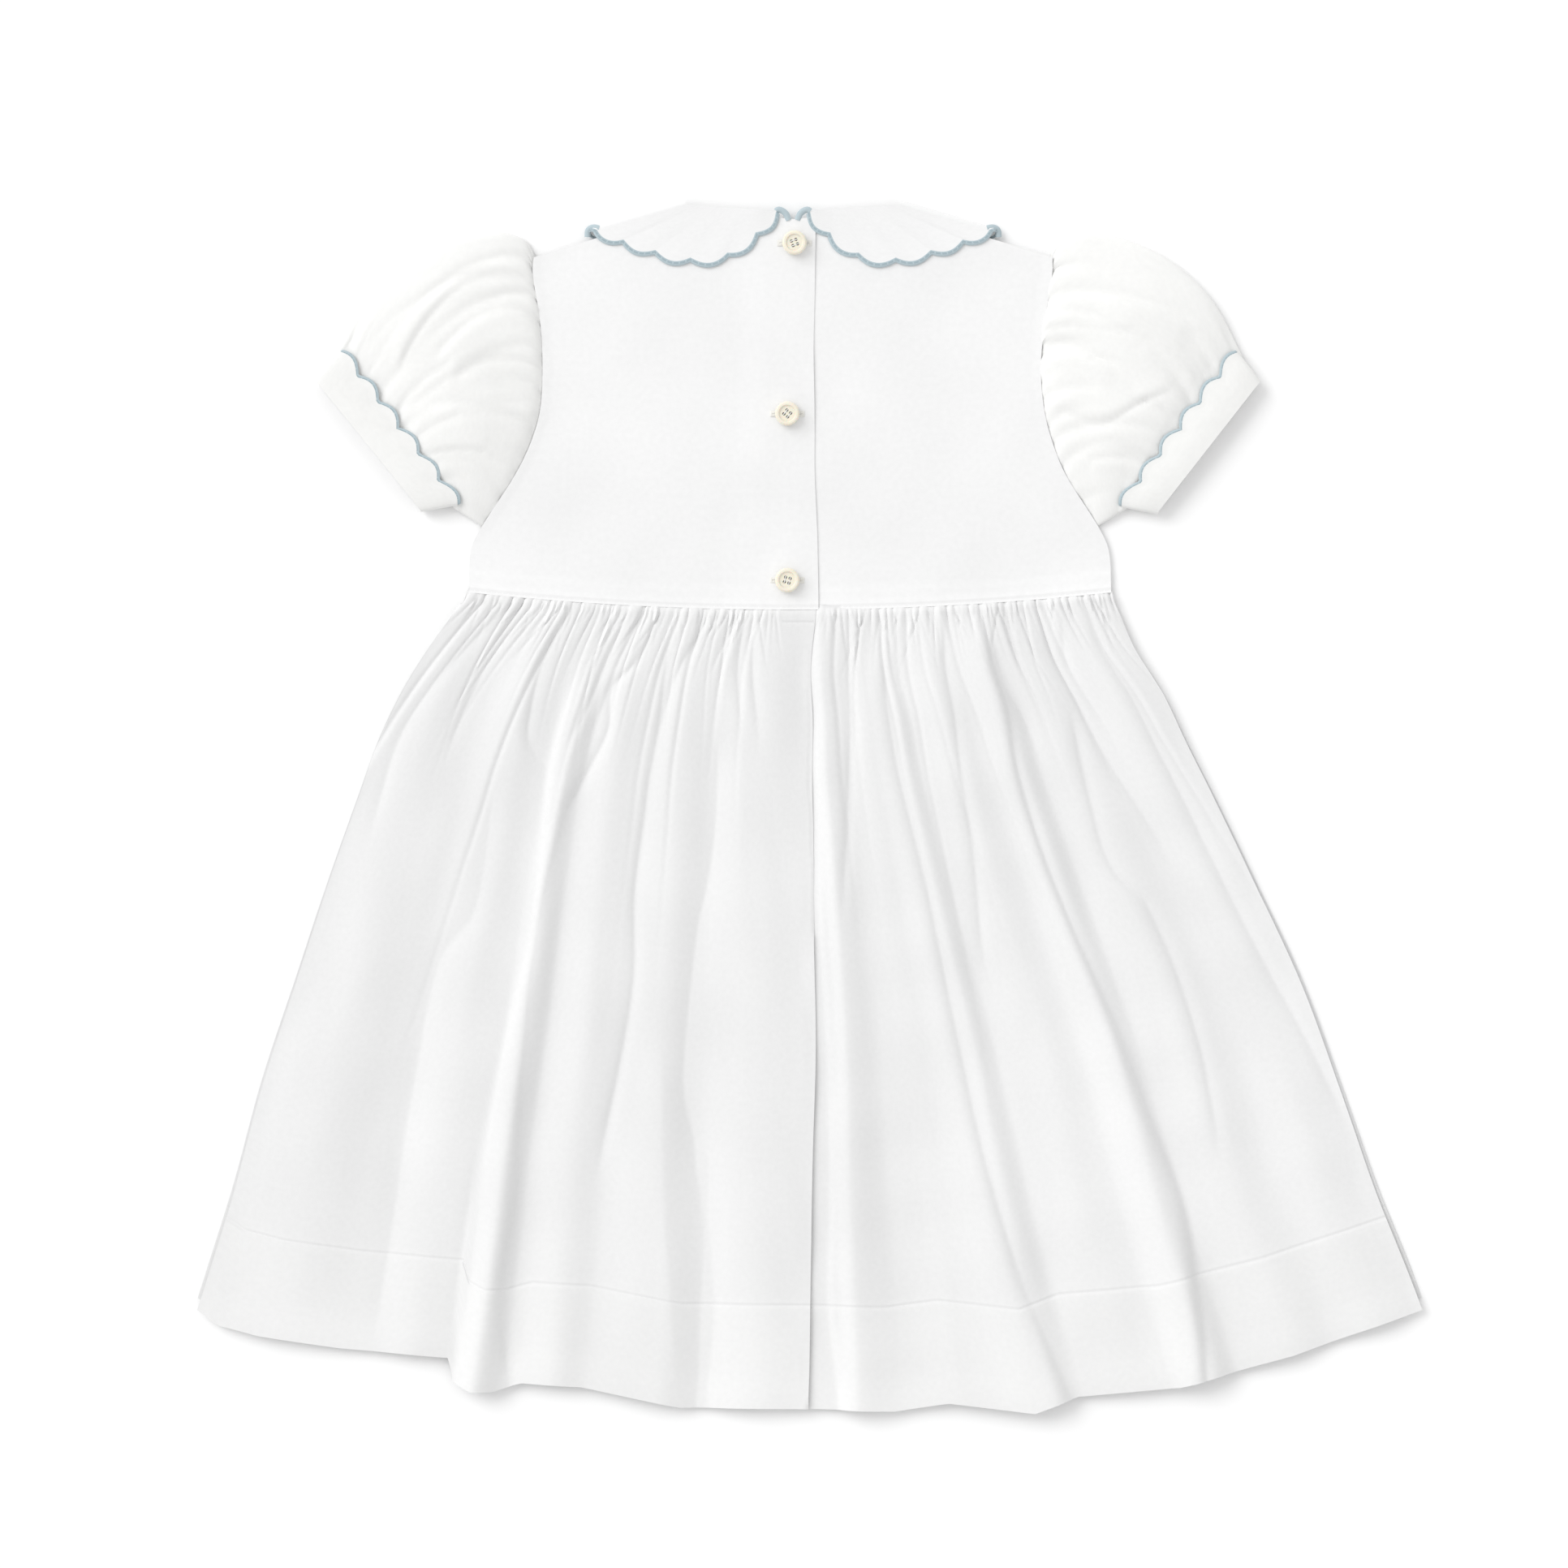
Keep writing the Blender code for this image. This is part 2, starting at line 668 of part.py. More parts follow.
def make_button(name, x, y, turn, finish, collection, cutters):
    """Four-hole button with a raised rim, turned about its axis, on top of the placket."""
    base = left_back_level(BACK_EDGE, y) + CLOTH + GAP
    bm = bmesh.new()
    verts = [bm.verts.new((radius * MM, 0.0, height * MM)) for radius, height in BUTTON_PROFILE]
    for first, second in zip(verts, verts[1:]):
        bm.edges.new((first, second))
    button = add_object(name, bm, finish, collection)
    button.location = (x * MM, y * MM, base * MM)
    button.rotation_euler = (0.0, 0.0, math.radians(turn))
    lathe = button.modifiers.new("turn", "SCREW")
    lathe.steps = lathe.render_steps = BUTTON_STEPS
    lathe.use_merge_vertices = True
    lathe.merge_threshold = 0.00001
    lathe.use_smooth_shade = False

    bm = bmesh.new()
    for i in range(4):
        angle = math.radians(45.0 + 90.0 * i)
        made = bmesh.ops.create_cone(bm, cap_ends=True, segments=8, radius1=BUTTON_HOLE_RADIUS * MM,
                                     radius2=BUTTON_HOLE_RADIUS * MM, depth=6.0 * MM)
        shift = (BUTTON_HOLE_SPREAD * math.cos(angle) * MM, BUTTON_HOLE_SPREAD * math.sin(angle) * MM, 0.0)
        bmesh.ops.translate(bm, verts=made["verts"], vec=shift)
    cutter = add_object(name + "_holes", bm, finish, cutters)
    cutter.location = button.location
    cutter.rotation_euler = button.rotation_euler
    cutter.hide_render = True
    cutter.display_type = "WIRE"
    drill = button.modifiers.new("holes", "BOOLEAN")
    drill.operation = "DIFFERENCE"
    drill.object = cutter


def main():
    """Build the dress."""
    clear_scene()
    dress = new_collection("toddler_dress")
    cutters = new_collection("cutters")
    cotton, edging, ivory = (make_finish(name) for name in FINISHES)
    make_bodice(cotton, dress)
    make_skirt(cotton, dress)
    for side in (0, 1):
        make_sleeve(side, cotton, dress)
        make_cuff(side, cotton, edging, dress)
        make_collar(side, cotton, edging, dress)
    for name, x, y, turn in BUTTONS:
        make_button(name, x, y, turn, ivory, dress, cutters)


main()
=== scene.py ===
"""Looks of a toddler's white cotton dress, laid flat with its buttoned back up.

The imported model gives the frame: +X to the wearer's right in this view, +Y to the neck, +Z up.
Tables hold millimetres, and shares of a piece's width (across) or length (down); meshes are in metres.
Each cut piece is a thin shell on the form of its solid, with its creases, gathers and seams.
"""

import logging
import math
from collections.abc import Callable, Sequence
from dataclasses import dataclass, field
from enum import Enum

import bmesh
import bpy
import numpy as np
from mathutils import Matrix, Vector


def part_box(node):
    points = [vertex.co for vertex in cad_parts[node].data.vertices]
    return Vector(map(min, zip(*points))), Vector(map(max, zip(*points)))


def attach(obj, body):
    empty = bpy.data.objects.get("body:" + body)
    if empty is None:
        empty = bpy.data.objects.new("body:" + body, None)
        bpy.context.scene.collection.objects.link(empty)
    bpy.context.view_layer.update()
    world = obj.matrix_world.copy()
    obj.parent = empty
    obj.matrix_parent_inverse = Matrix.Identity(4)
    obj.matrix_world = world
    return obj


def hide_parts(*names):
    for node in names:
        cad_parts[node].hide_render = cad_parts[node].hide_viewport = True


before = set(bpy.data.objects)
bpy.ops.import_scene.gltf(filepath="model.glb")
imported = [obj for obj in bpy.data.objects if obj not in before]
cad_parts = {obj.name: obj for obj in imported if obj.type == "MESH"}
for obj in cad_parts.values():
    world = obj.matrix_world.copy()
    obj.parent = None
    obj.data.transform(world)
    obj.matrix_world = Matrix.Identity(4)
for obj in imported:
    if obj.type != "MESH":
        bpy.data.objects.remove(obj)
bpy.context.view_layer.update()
LOG = logging.getLogger("toddler_dress")

MM = 0.001
BODY = "root"

Array = np.ndarray
Placed = tuple[Array, Array, Array]
Rows = Sequence[Sequence[float]]


class Slot(Enum):
    """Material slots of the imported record."""

    COTTON = "white_cotton"
    EDGING = "blue_edging"
    BUTTON = "ivory_button"


# ---------------------------------------------------------------- sizes shared by the pieces

CLOTH = 1.2               # wall of one solid cloth
GAP = 0.3                 # air between two solids
LAYER = CLOTH + GAP
HEM_CLOTH = 1.8
CUFF_CLOTH = 1.6
SEAM = 0.5 * GAP
SHELL = 0.5               # wall of one shown cloth
UNDER_SEAM = 2.2          # gathered cloth runs this far under the piece it is sewn to
EDGE_LIFT = 0.62          # that piece's edge stands this much higher
DOUBLE_SHELL = 0.9        # wall of doubled cloth

CENTRE_X = -7.1
WAIST_Y = 92.8
WAIST_SAG = 7.4
SHOULDER_Y = 237.3
SHOULDER_HALF = 111.7
NECK_HALF = 46.3
NECK_Y = 257.3
FRONT_NECK_DEPTH = 52.0
BACK_EDGE = 0.544
UNDERLAP_EDGE = 0.455
PLACKET_STEP = (BACK_EDGE * 10 / 14, BACK_EDGE * 11 / 14)
CHEST_STEP = (105.0, 158.0)

BODICE_SIDES = (
    # y, left x, right x
    (92.8, -146.5, 130.0),
    (110.6, -146.1, 129.0),
    (120.1, -141.9, 125.1),
    (143.5, -126.9, 110.4),
    (157.9, -119.9, 104.5),
    (171.9, -116.0, 101.0),
    (189.7, -115.0, 99.6),
    (209.3, -116.0, 101.3),
    (230.0, -119.2, 104.5),
    (237.3, -118.8, 104.6),
)
BACK_NECK = (
    # distance from the centre line, y
    (0.0, 253.6),
    (7.8, 254.5),
    (26.9, 256.5),
    (46.3, 257.3),
)
SKIRT_SIDES = (
    # y, left x, right x
    (-216.0, -263.7, 263.9),
    (-200.0, -258.7, 257.9),
    (-165.0, -248.0, 243.9),
    (-120.0, -236.0, 228.3),
    (-75.0, -221.3, 211.7),
    (-30.0, -206.5, 190.8),
    (7.0, -193.5, 173.0),
    (28.0, -186.0, 162.5),
    (50.0, -175.7, 152.0),
    (70.0, -163.5, 139.5),
    (92.8, -146.9, 130.0),
)
HEM_EDGE = (
    # x, y of the back's lower edge
    (-263.7, -216.0),
    (-254.6, -222.6),
    (-237.1, -227.2),
    (-202.5, -232.4),
    (-155.6, -236.6),
    (-153.0, -247.1),
    (-145.8, -251.0),
    (-136.3, -251.0),
    (-124.1, -247.5),
    (-98.2, -249.2),
    (-56.2, -258.0),
    (0.0, -258.6),
    (36.6, -259.7),
    (60.0, -256.2),
    (97.0, -260.4),
    (115.3, -253.4),
    (159.8, -249.2),
    (208.1, -235.6),
    (263.9, -216.0),
)
BUTTONS = (
    # node, x, y, turn in degrees
    ("button_top", -6.5, 243.3, 20.0),
    ("button_middle", -9.6, 169.8, 52.0),
    ("button_bottom", -9.6, 98.2, 75.0),
)
BUTTON_SWELL = 1.3
BUTTON_SWELL_REACH = 8.0
THIN_CLIMB = 0.62         # the left back climbs this much onto the right one
HEM_FROM = 0.867
WAIST_FADE = 0.14
FRONT_HEM_LIFT = 5.0
PLACKET_LAP = (0.385, 0.455)
GATHER_LIFT = 1.5         # gathered cloth stands this high below its seam
PLACKET_ROW = (-12.4, 2.2, 79.8)  # from x, to x and y of the short row that closes the placket
HEM_CURL = 0.9            # the hem's edge lifts this much
SKIRT_LENGTH = 340.0      # waist to hem, for cloth coordinates
HEM_WIDTH = 527.6         # side to side at the hem, for cloth coordinates


# ---------------------------------------------------------------- curves

def ease(start: float, end: float, value: Array) -> Array:
    """Smooth step from 0 to 1 between start and end."""
    share = np.clip((value - start) / (end - start), 0.0, 1.0)
    return share * share * (3.0 - 2.0 * share)


def mix(a: Array, b: Array, share: Array) -> Array:
    """Value between a and b."""
    return a + (b - a) * share


def smooth(rows: Rows, at: Array, column: int = 1) -> Array:
    """Value on a smooth curve through table rows.

    Args:
        rows: Rows that rise in column 0.
        at: Where to read the curve, in column 0's unit.
        column: Which column to read.

    Returns:
        The curve's values.
    """
    table = np.asarray(rows, float)
    keys, values = table[:, 0], table[:, column]
    index = np.arange(len(keys))
    before, after = np.maximum(index - 1, 0), np.minimum(index + 1, len(keys) - 1)
    slopes = (values[after] - values[before]) / (keys[after] - keys[before])
    i = np.clip(np.searchsorted(keys, at, side="right") - 1, 0, len(keys) - 2)
    step = keys[i + 1] - keys[i]
    s = np.clip((at - keys[i]) / step, 0.0, 1.0)
    return ((2 * s**3 - 3 * s**2 + 1) * values[i] + (s**3 - 2 * s**2 + s) * step * slopes[i]
            + (3 * s**2 - 2 * s**3) * values[i + 1] + (s**3 - s**2) * step * slopes[i + 1])


def straight(rows: Rows, at: Array) -> Array:
    """Value on straight lines through the rows."""
    table = np.asarray(rows, float)
    return np.interp(at, table[:, 0], table[:, 1])


def waist_y(across: Array) -> Array:
    """Waist seam, whose middle sags."""
    return WAIST_Y - WAIST_SAG * (1.0 - (2.0 * across - 1.0) ** 2)


def back_top_y(x: Array) -> Array:
    """Back neckline and straight shoulder."""
    distance = np.abs(x - CENTRE_X)
    shoulder = mix(NECK_Y, SHOULDER_Y, np.clip((distance - NECK_HALF) / (SHOULDER_HALF - NECK_HALF), 0.0, 1.0))
    return np.where(distance > NECK_HALF, shoulder, smooth(BACK_NECK, distance))


def front_top_y(x: Array) -> Array:
    """Front neckline, half an ellipse, and the same shoulder."""
    share = np.abs(x - CENTRE_X) / NECK_HALF
    dip = FRONT_NECK_DEPTH * np.sqrt(np.clip(1.0 - share**2, 0.0, 1.0))
    return np.where(share >= 1.0, back_top_y(x), NECK_Y - dip)


def bodice_point(across: Array, up: Array, top_y: Callable[[Array], Array]) -> tuple[Array, Array]:
    """Plan point of the bodice, across from left to right and up from waist to neck."""
    side_y = mix(WAIST_Y, SHOULDER_Y, up)
    x = mix(smooth(BODICE_SIDES, side_y, 1), smooth(BODICE_SIDES, side_y, 2), across)
    top_x = CENTRE_X + mix(-SHOULDER_HALF, SHOULDER_HALF, across)
    return x, mix(waist_y(across) + SEAM, top_y(top_x), up)


def chest_lift(y: Array) -> Array:
    """Rise of the bodice from the ground at the waist onto the front collar at the chest."""
    return LAYER * ease(*CHEST_STEP, y)


def placket_climb(across: Array, height: float = LAYER) -> Array:
    """Rise of the left back onto the right one at the placket."""
    return height * np.clip((across - PLACKET_STEP[0]) / (PLACKET_STEP[1] - PLACKET_STEP[0]), 0.0, 1.0)


def button_swell(x: Array, y: Array) -> Array:
    """Rise of the cloth that each button pulls up."""
    total = np.zeros_like(x)
    for _, at_x, at_y, _ in BUTTONS:
        total += BUTTON_SWELL * np.exp(-((x - at_x) ** 2 + (y - at_y) ** 2) / BUTTON_SWELL_REACH**2)
    return total


def skirt_point(across: Array, down: Array, hem_lift: float = 0.0) -> tuple[Array, Array]:
    """Plan point of the skirt, across from left to right and down from waist to hem."""
    side_y = mix(WAIST_Y, SKIRT_SIDES[0][0], down)
    x = mix(smooth(SKIRT_SIDES, side_y, 1), smooth(SKIRT_SIDES, side_y, 2), across)
    hem_x = mix(HEM_EDGE[0][0], HEM_EDGE[-1][0], across)
    return x, mix(waist_y(across) - SEAM, straight(HEM_EDGE, hem_x) + hem_lift, down)


def skirt_width(down: Array) -> Array:
    """Width of the skirt at a share of its length."""
    side_y = mix(WAIST_Y, SKIRT_SIDES[0][0], down)
    return smooth(SKIRT_SIDES, side_y, 2) - smooth(SKIRT_SIDES, side_y, 1)


# ---------------------------------------------------------------- creases and gathers

@dataclass(frozen=True)
class Crease:
    """One crease down a piece.

    Attributes:
        path: Points (share down, share across), from top to bottom.
        depth: Depth of the trough on the line, negative for a ridge.
        width: Half width of the trough.
        left: Rise of the cloth just left of the line.
        right: Rise of the cloth just right of the line.
        reach: How far those rises run out sideways.
        sharp: Half width of the slope on the line.
    """

    path: tuple[tuple[float, float], ...]
    depth: float = 0.0
    width: float = 4.0
    left: float = 0.0
    right: float = 0.0
    reach: float = 16.0
    sharp: float = 1.2

    def height(self, across: Array, down: Array, width: Array) -> Array:
        """Height that the crease adds.

        Args:
            across: Shares of the piece's width.
            down: Shares of its length.
            width: The piece's width at each point, in millimetres.

        Returns:
            Heights in millimetres.
        """
        table = np.asarray(self.path, float)
        first, last = table[0, 0], table[-1, 0]
        away = (across - smooth(self.path, down)) * width
        fade_in = 1.0 if first <= 0.005 else ease(first - 0.02, first + 0.05, down)
        fade_out = 1.0 if last >= 0.995 else 1.0 - ease(last - 0.07, last + 0.03, down)
        side = 1.0 / (1.0 + np.exp(np.clip(-2.0 * away / self.sharp, -40.0, 40.0)))
        rise = (self.right * np.exp(-np.maximum(away, 0.0) / self.reach) * side
                + self.left * np.exp(np.minimum(away, 0.0) / self.reach) * (1.0 - side))
        soft, crisp = np.exp(-(away / self.width) ** 2), np.exp(-np.abs(away) / (0.4 * self.width))
        trough = self.depth * (0.6 * soft + 0.4 * crisp)
        return (rise - trough) * fade_in * fade_out


@dataclass(frozen=True)
class Gathers:
    """Small uneven tucks that run out from a gathered seam.

    Attributes:
        count: How many tucks there are from side to side.
        depth: Rise of a deep tuck's ridge beside its line.
        reach: How far that ridge falls away over, in millimetres.
        sharp: Half width of the tuck's line, in millimetres.
        length: Length of a long tuck, as a share of the piece's length.
        seed: Number that the unevenness starts from.
        flat: Stretch of the seam (from, to), as shares across, that isn't gathered.
        spread: How far the tucks lean apart from side to side.
        wander: How far each tuck may lean either way.
    """

    count: int
    depth: float
    reach: float
    sharp: float
    length: float
    seed: int
    flat: tuple[float, float] = (2.0, 2.0)
    spread: float = 0.0
    wander: float = 0.05

    def height(self, across: Array, out: Array, width: Array) -> Array:
        """Height that the tucks add, at shares across and out from the seam."""
        chance = np.random.default_rng(self.seed)
        total = np.zeros_like(across)
        for i in range(self.count):
            middle = (i + 0.5 + chance.uniform(-0.42, 0.42)) / self.count
            depth = self.depth * chance.uniform(0.35, 1.0)
            length = self.length * chance.uniform(0.12, 1.0) ** 1.4 + 0.012
            lean = self.spread * (middle - 0.5) + chance.uniform(-self.wander, self.wander)
            facing = 1.0 if chance.uniform() < 0.6 else -1.0
            if self.flat[0] < middle < self.flat[1]:
                continue
            away = facing * (across - middle - lean * out) * width
            side = 1.0 / (1.0 + np.exp(np.clip(-2.0 * away / self.sharp, -40.0, 40.0)))
            ridge = np.exp(-np.maximum(away, 0.0) / self.reach) * side
            groove = np.exp(-(away / (1.5 * self.sharp)) ** 2)
            total += depth * (0.55 * ridge - 0.85 * groove) * np.exp(-(out / length) ** 2)
        return total


def waist_gathers(seed: int, flat: tuple[float, float]) -> tuple[Gathers, ...]:
    """Dense short tucks, fewer middling ones and a few long ones along the waist seam."""
    return (Gathers(130, 1.15, 1.3, 0.38, 0.05, seed, flat, 0.2, 0.5),
            Gathers(64, 1.4, 2.6, 0.42, 0.13, seed + 1, flat, 0.22, 0.16),
            Gathers(26, 1.4, 5.0, 0.8, 0.36, seed + 2, flat, 0.25, 0.05))


@dataclass(frozen=True)
class Ripple:
    """Soft unevenness of cloth that was pressed and handled.

    Attributes:
        height_mm: Height of the swells.
        pitch: Distance between swells, in millimetres.
        seed: Number that the swells start from.
    """

    height_mm: float
    pitch: float
    seed: int

    def height(self, x: Array, y: Array) -> Array:
        """Height that the swells add at plan points in millimetres."""
        chance = np.random.default_rng(self.seed)
        total = np.zeros_like(x)
        waves = 9
        for _ in range(waves):
            turn = chance.uniform(0.0, math.pi)
            pitch = self.pitch * chance.uniform(0.6, 1.8)
            phase = chance.uniform(0.0, 2.0 * math.pi)
            total += np.sin(2.0 * math.pi * (x * math.cos(turn) + y * math.sin(turn)) / pitch + phase)
        return total * self.height_mm / math.sqrt(waves)


Fold = tuple[str, float, float, float, float]

LEFT_FOLDS: tuple[Fold, ...] = (
    # line down the left back, share of width at waist and hem, rise high up and low down
    ("side", 0.000, 0.000, 0.0, 0.0),
    ("side swell", 0.050, 0.070, 1.6, 2.3),
    ("outer valley", 0.100, 0.142, 0.3, 0.2),
    ("outer swell", 0.160, 0.176, 2.3, 2.0),
    ("main crease", 0.205, 0.208, 0.7, 0.7),
    ("main fold", 0.232, 0.226, 2.4, 5.2),
    ("main valley", 0.254, 0.250, 0.3, 0.3),
    ("middle swell", 0.290, 0.290, 2.0, 2.6),
    ("fine crease", 0.335, 0.318, 0.7, 1.0),
    ("wide swell", 0.370, 0.375, 2.6, 2.9),
    ("wide valley", 0.420, 0.412, 0.7, 0.3),
    ("edge swell", 0.480, 0.460, 1.6, 2.0),
    ("back edge", 0.541, 0.4985, 0.2, 0.9),
)
RIGHT_FOLDS: tuple[Fold, ...] = (
    ("underlap edge", 0.460, 0.460, 0.0, 0.0),
    ("underlap", 0.500, 0.488, 0.0, 0.0),
    ("slit foot", 0.546, 0.521, 0.0, 0.0),
    ("slit ridge", 0.560, 0.541, 2.3, 3.6),
    ("inner valley", 0.585, 0.580, 0.7, 0.7),
    ("inner swell", 0.612, 0.630, 2.3, 2.0),
    ("second fold", 0.640, 0.700, 3.2, 4.2),
    ("second valley", 0.662, 0.724, 0.3, 0.3),
    ("third swell", 0.712, 0.768, 2.6, 1.6),
    ("third valley", 0.745, 0.795, 0.7, 1.0),
    ("main fold", 0.785, 0.826, 3.9, 5.2),
    ("main valley", 0.810, 0.850, 0.3, 0.3),
    ("outer swell", 0.850, 0.895, 2.6, 2.3),
    ("outer valley", 0.900, 0.928, 0.7, 0.3),
    ("side swell", 0.945, 0.965, 2.3, 2.0),
    ("side", 1.000, 1.000, 0.0, 0.0),
)

LEFT_CREASES = (
    # the left back: each path is (share down, share across)
    Crease(((0.10, .215), (0.20, .214), (0.26, .217), (0.425, .222), (0.53, .214), (0.69, .209), (0.85, .205),
            (1.0, .209)), right=1.6, reach=12.0, sharp=1.5, depth=0.6, width=3.0),
    Crease(((0.10, .254), (0.215, .254), (0.26, .240), (0.41, .228), (0.57, .231), (0.735, .240), (0.88, .238),
            (1.0, .254)), left=1.5, reach=10.0, sharp=2.4, depth=0.9, width=3.5),
    Crease(((0.013, .158), (0.08, .163), (0.14, .170), (0.185, .180), (0.216, .208)), depth=1.3, width=3.0,
           left=0.6, reach=8.0),
    Crease(((0.01, .254), (0.106, .246), (0.186, .230)), depth=1.2, width=2.6, right=0.6, reach=7.0),
    Crease(((0.03, .297), (0.073, .289), (0.104, .269), (0.163, .275), (0.26, .240)), depth=1.2, width=2.8,
           left=0.5, reach=8.0),
    Crease(((0.03, .331), (0.143, .339), (0.24, .334), (0.36, .327), (0.46, .332), (0.56, .326), (0.72, .313)),
           depth=1.1, width=3.4, left=0.8, reach=9.0),
    Crease(((0.01, .377), (0.08, .354), (0.16, .341)), depth=1.1, width=2.6, left=0.5, reach=7.0),
    Crease(((0.007, .412), (0.08, .402)), depth=0.9, width=2.2),
    Crease(((0.003, .431), (0.08, .438), (0.15, .447)), depth=1.0, width=2.4, left=0.4),
    Crease(((0.006, .447), (0.107, .463), (0.166, .470)), depth=1.0, width=2.6, left=0.5, reach=8.0),
    Crease(((0.16, .417), (0.22, .420), (0.32, .412), (0.41, .397), (0.59, .387), (0.69, .405), (0.81, .415),
            (1.0, .411)), depth=1.6, width=8.0),
    Crease(((0.56, .365), (0.77, .376), (0.97, .389)), depth=-0.8, width=7.0),
    Crease(((0.24, .151), (0.41, .159), (0.48, .133), (0.65, .135), (0.98, .142)), depth=0.8, width=6.0),
    Crease(((0.016, .065), (0.17, .025), (0.32, .025)), depth=0.8, width=3.0),
    Crease(((0.02, .096), (0.12, .088), (0.21, .086)), depth=0.9, width=3.0),
)
RIGHT_CREASES = (
    Crease(((0.0, .546), (0.15, .546), (0.405, .533), (0.717, .529), (0.875, .522), (1.0, .528)), right=1.7,
           reach=10.0, sharp=1.3),
    Crease(((0.02, .590), (0.066, .594), (0.19, .584), (0.32, .564), (0.38, .556)), depth=1.0, width=3.0,
           left=0.6, reach=8.0),
    Crease(((0.06, .648), (0.126, .640), (0.24, .646), (0.36, .654), (0.52, .658), (0.68, .670), (0.83, .688),
            (0.92, .701), (1.0, .713)), depth=1.6, width=4.0, left=2.2, reach=12.0, sharp=3.0),
    Crease(((0.02, .737), (0.13, .726), (0.30, .714), (0.415, .702), (0.456, .700)), depth=1.2, width=3.2,
           left=0.7, reach=9.0),
    Crease(((0.014, .802), (0.10, .799), (0.21, .789), (0.31, .790), (0.415, .800), (0.51, .811), (0.67, .828),
            (0.78, .839), (0.91, .831), (1.0, .822)), depth=1.8, width=3.0, left=3.2, reach=13.0, sharp=2.0),
    Crease(((0.10, .799), (0.144, .814), (0.205, .822)), depth=1.0, width=2.6),
    Crease(((0.02, .883), (0.117, .885), (0.215, .900), (0.305, .918), (0.345, .923)), depth=1.2, width=3.0,
           left=0.6, reach=8.0),
    Crease(((0.143, .875), (0.31, .858), (0.36, .863), (0.405, .883), (0.58, .888), (0.73, .881)), depth=1.2,
           width=3.6, left=0.8, reach=10.0),
    Crease(((0.03, .913), (0.10, .900), (0.19, .917)), depth=1.0, width=2.6),
    Crease(((0.02, .950), (0.125, .957), (0.225, .963), (0.50, .973), (0.63, .986), (0.73, .995)), depth=1.1,
           width=3.2, left=0.5),
)
FRONT_CREASES = (
    Crease(((0.0, .130), (0.4, .118), (1.0, .105)), depth=0.5, width=6.0, left=0.4),
    Crease(((0.05, .285), (0.5, .300), (0.9, .280)), depth=0.5, width=5.0, right=0.4),
    Crease(((0.0, .460), (0.3, .452), (0.7, .470)), depth=0.5, width=6.0, left=0.3),
    Crease(((0.1, .640), (0.6, .660), (1.0, .672)), depth=0.5, width=5.0, left=0.4),
    Crease(((0.0, .835), (0.45, .850), (0.85, .862)), depth=0.5, width=6.0, right=0.3),
)


def fold_rise(folds: Sequence[Fold], across: Array, down: Array) -> Array:
    """Height of the broad folds, eased between their named lines.

    Args:
        folds: The lines, from left to right.
        across: Shares of the skirt's width.
        down: Shares of its length.

    Returns:
        Heights in millimetres.
    """
    total = np.zeros_like(across)
    lines = [(mix(f[1], f[2], down), mix(f[3], f[4], ease(0.1, 0.9, down))) for f in folds]
    for (at, rise), (next_at, next_rise) in zip(lines, lines[1:]):
        share = (across - at) / (next_at - at)
        inside = (share >= 0.0) & (share < 1.0)
        total = np.where(inside, mix(rise, next_rise, ease(0.0, 1.0, share)), total)
    return total * ease(0.0, WAIST_FADE, down)


# ---------------------------------------------------------------- shader groups

def new_group(name: str, inputs: Sequence[tuple[str, str]], outputs: Sequence[tuple[str, str]]) -> bpy.types.NodeTree:
    """Empty shader group with its sockets.

    Args:
        name: The group's name.
        inputs: Pairs of socket name and type.
        outputs: Pairs of socket name and type.

    Returns:
        The node tree, with nodes named "in" and "out".
    """
    tree = bpy.data.node_groups.new(name, "ShaderNodeTree")
    for label, kind in inputs:
        tree.interface.new_socket(label, in_out="INPUT", socket_type=kind)
    for label, kind in outputs:
        tree.interface.new_socket(label, in_out="OUTPUT", socket_type=kind)
    tree.nodes.new("NodeGroupInput").name = "in"
    tree.nodes.new("NodeGroupOutput").name = "out"
    return tree


def add_node(tree: bpy.types.NodeTree, kind: str, label: str = "", **settings: object) -> bpy.types.Node:
    """Add a node and set its properties."""
    node = tree.nodes.new(kind)
    node.label = label
    for key, value in settings.items():
        setattr(node, key, value)
    return node


def maths(tree: bpy.types.NodeTree, operation: str, first: object, second: object = None) -> bpy.types.NodeSocket:
    """Math node on sockets or numbers.

    Args:
        tree: Where the node goes.
        operation: The node's operation.
        first: Socket or number.
        second: Socket, number or nothing.

    Returns:
        The result's socket.
    """
    node = add_node(tree, "ShaderNodeMath", operation=operation)
    for socket, value in zip(node.inputs, (first, second)):
        if isinstance(value, bpy.types.NodeSocket):
            tree.links.new(value, socket)
        elif value is not None:
            socket.default_value = value
    return node.outputs[0]


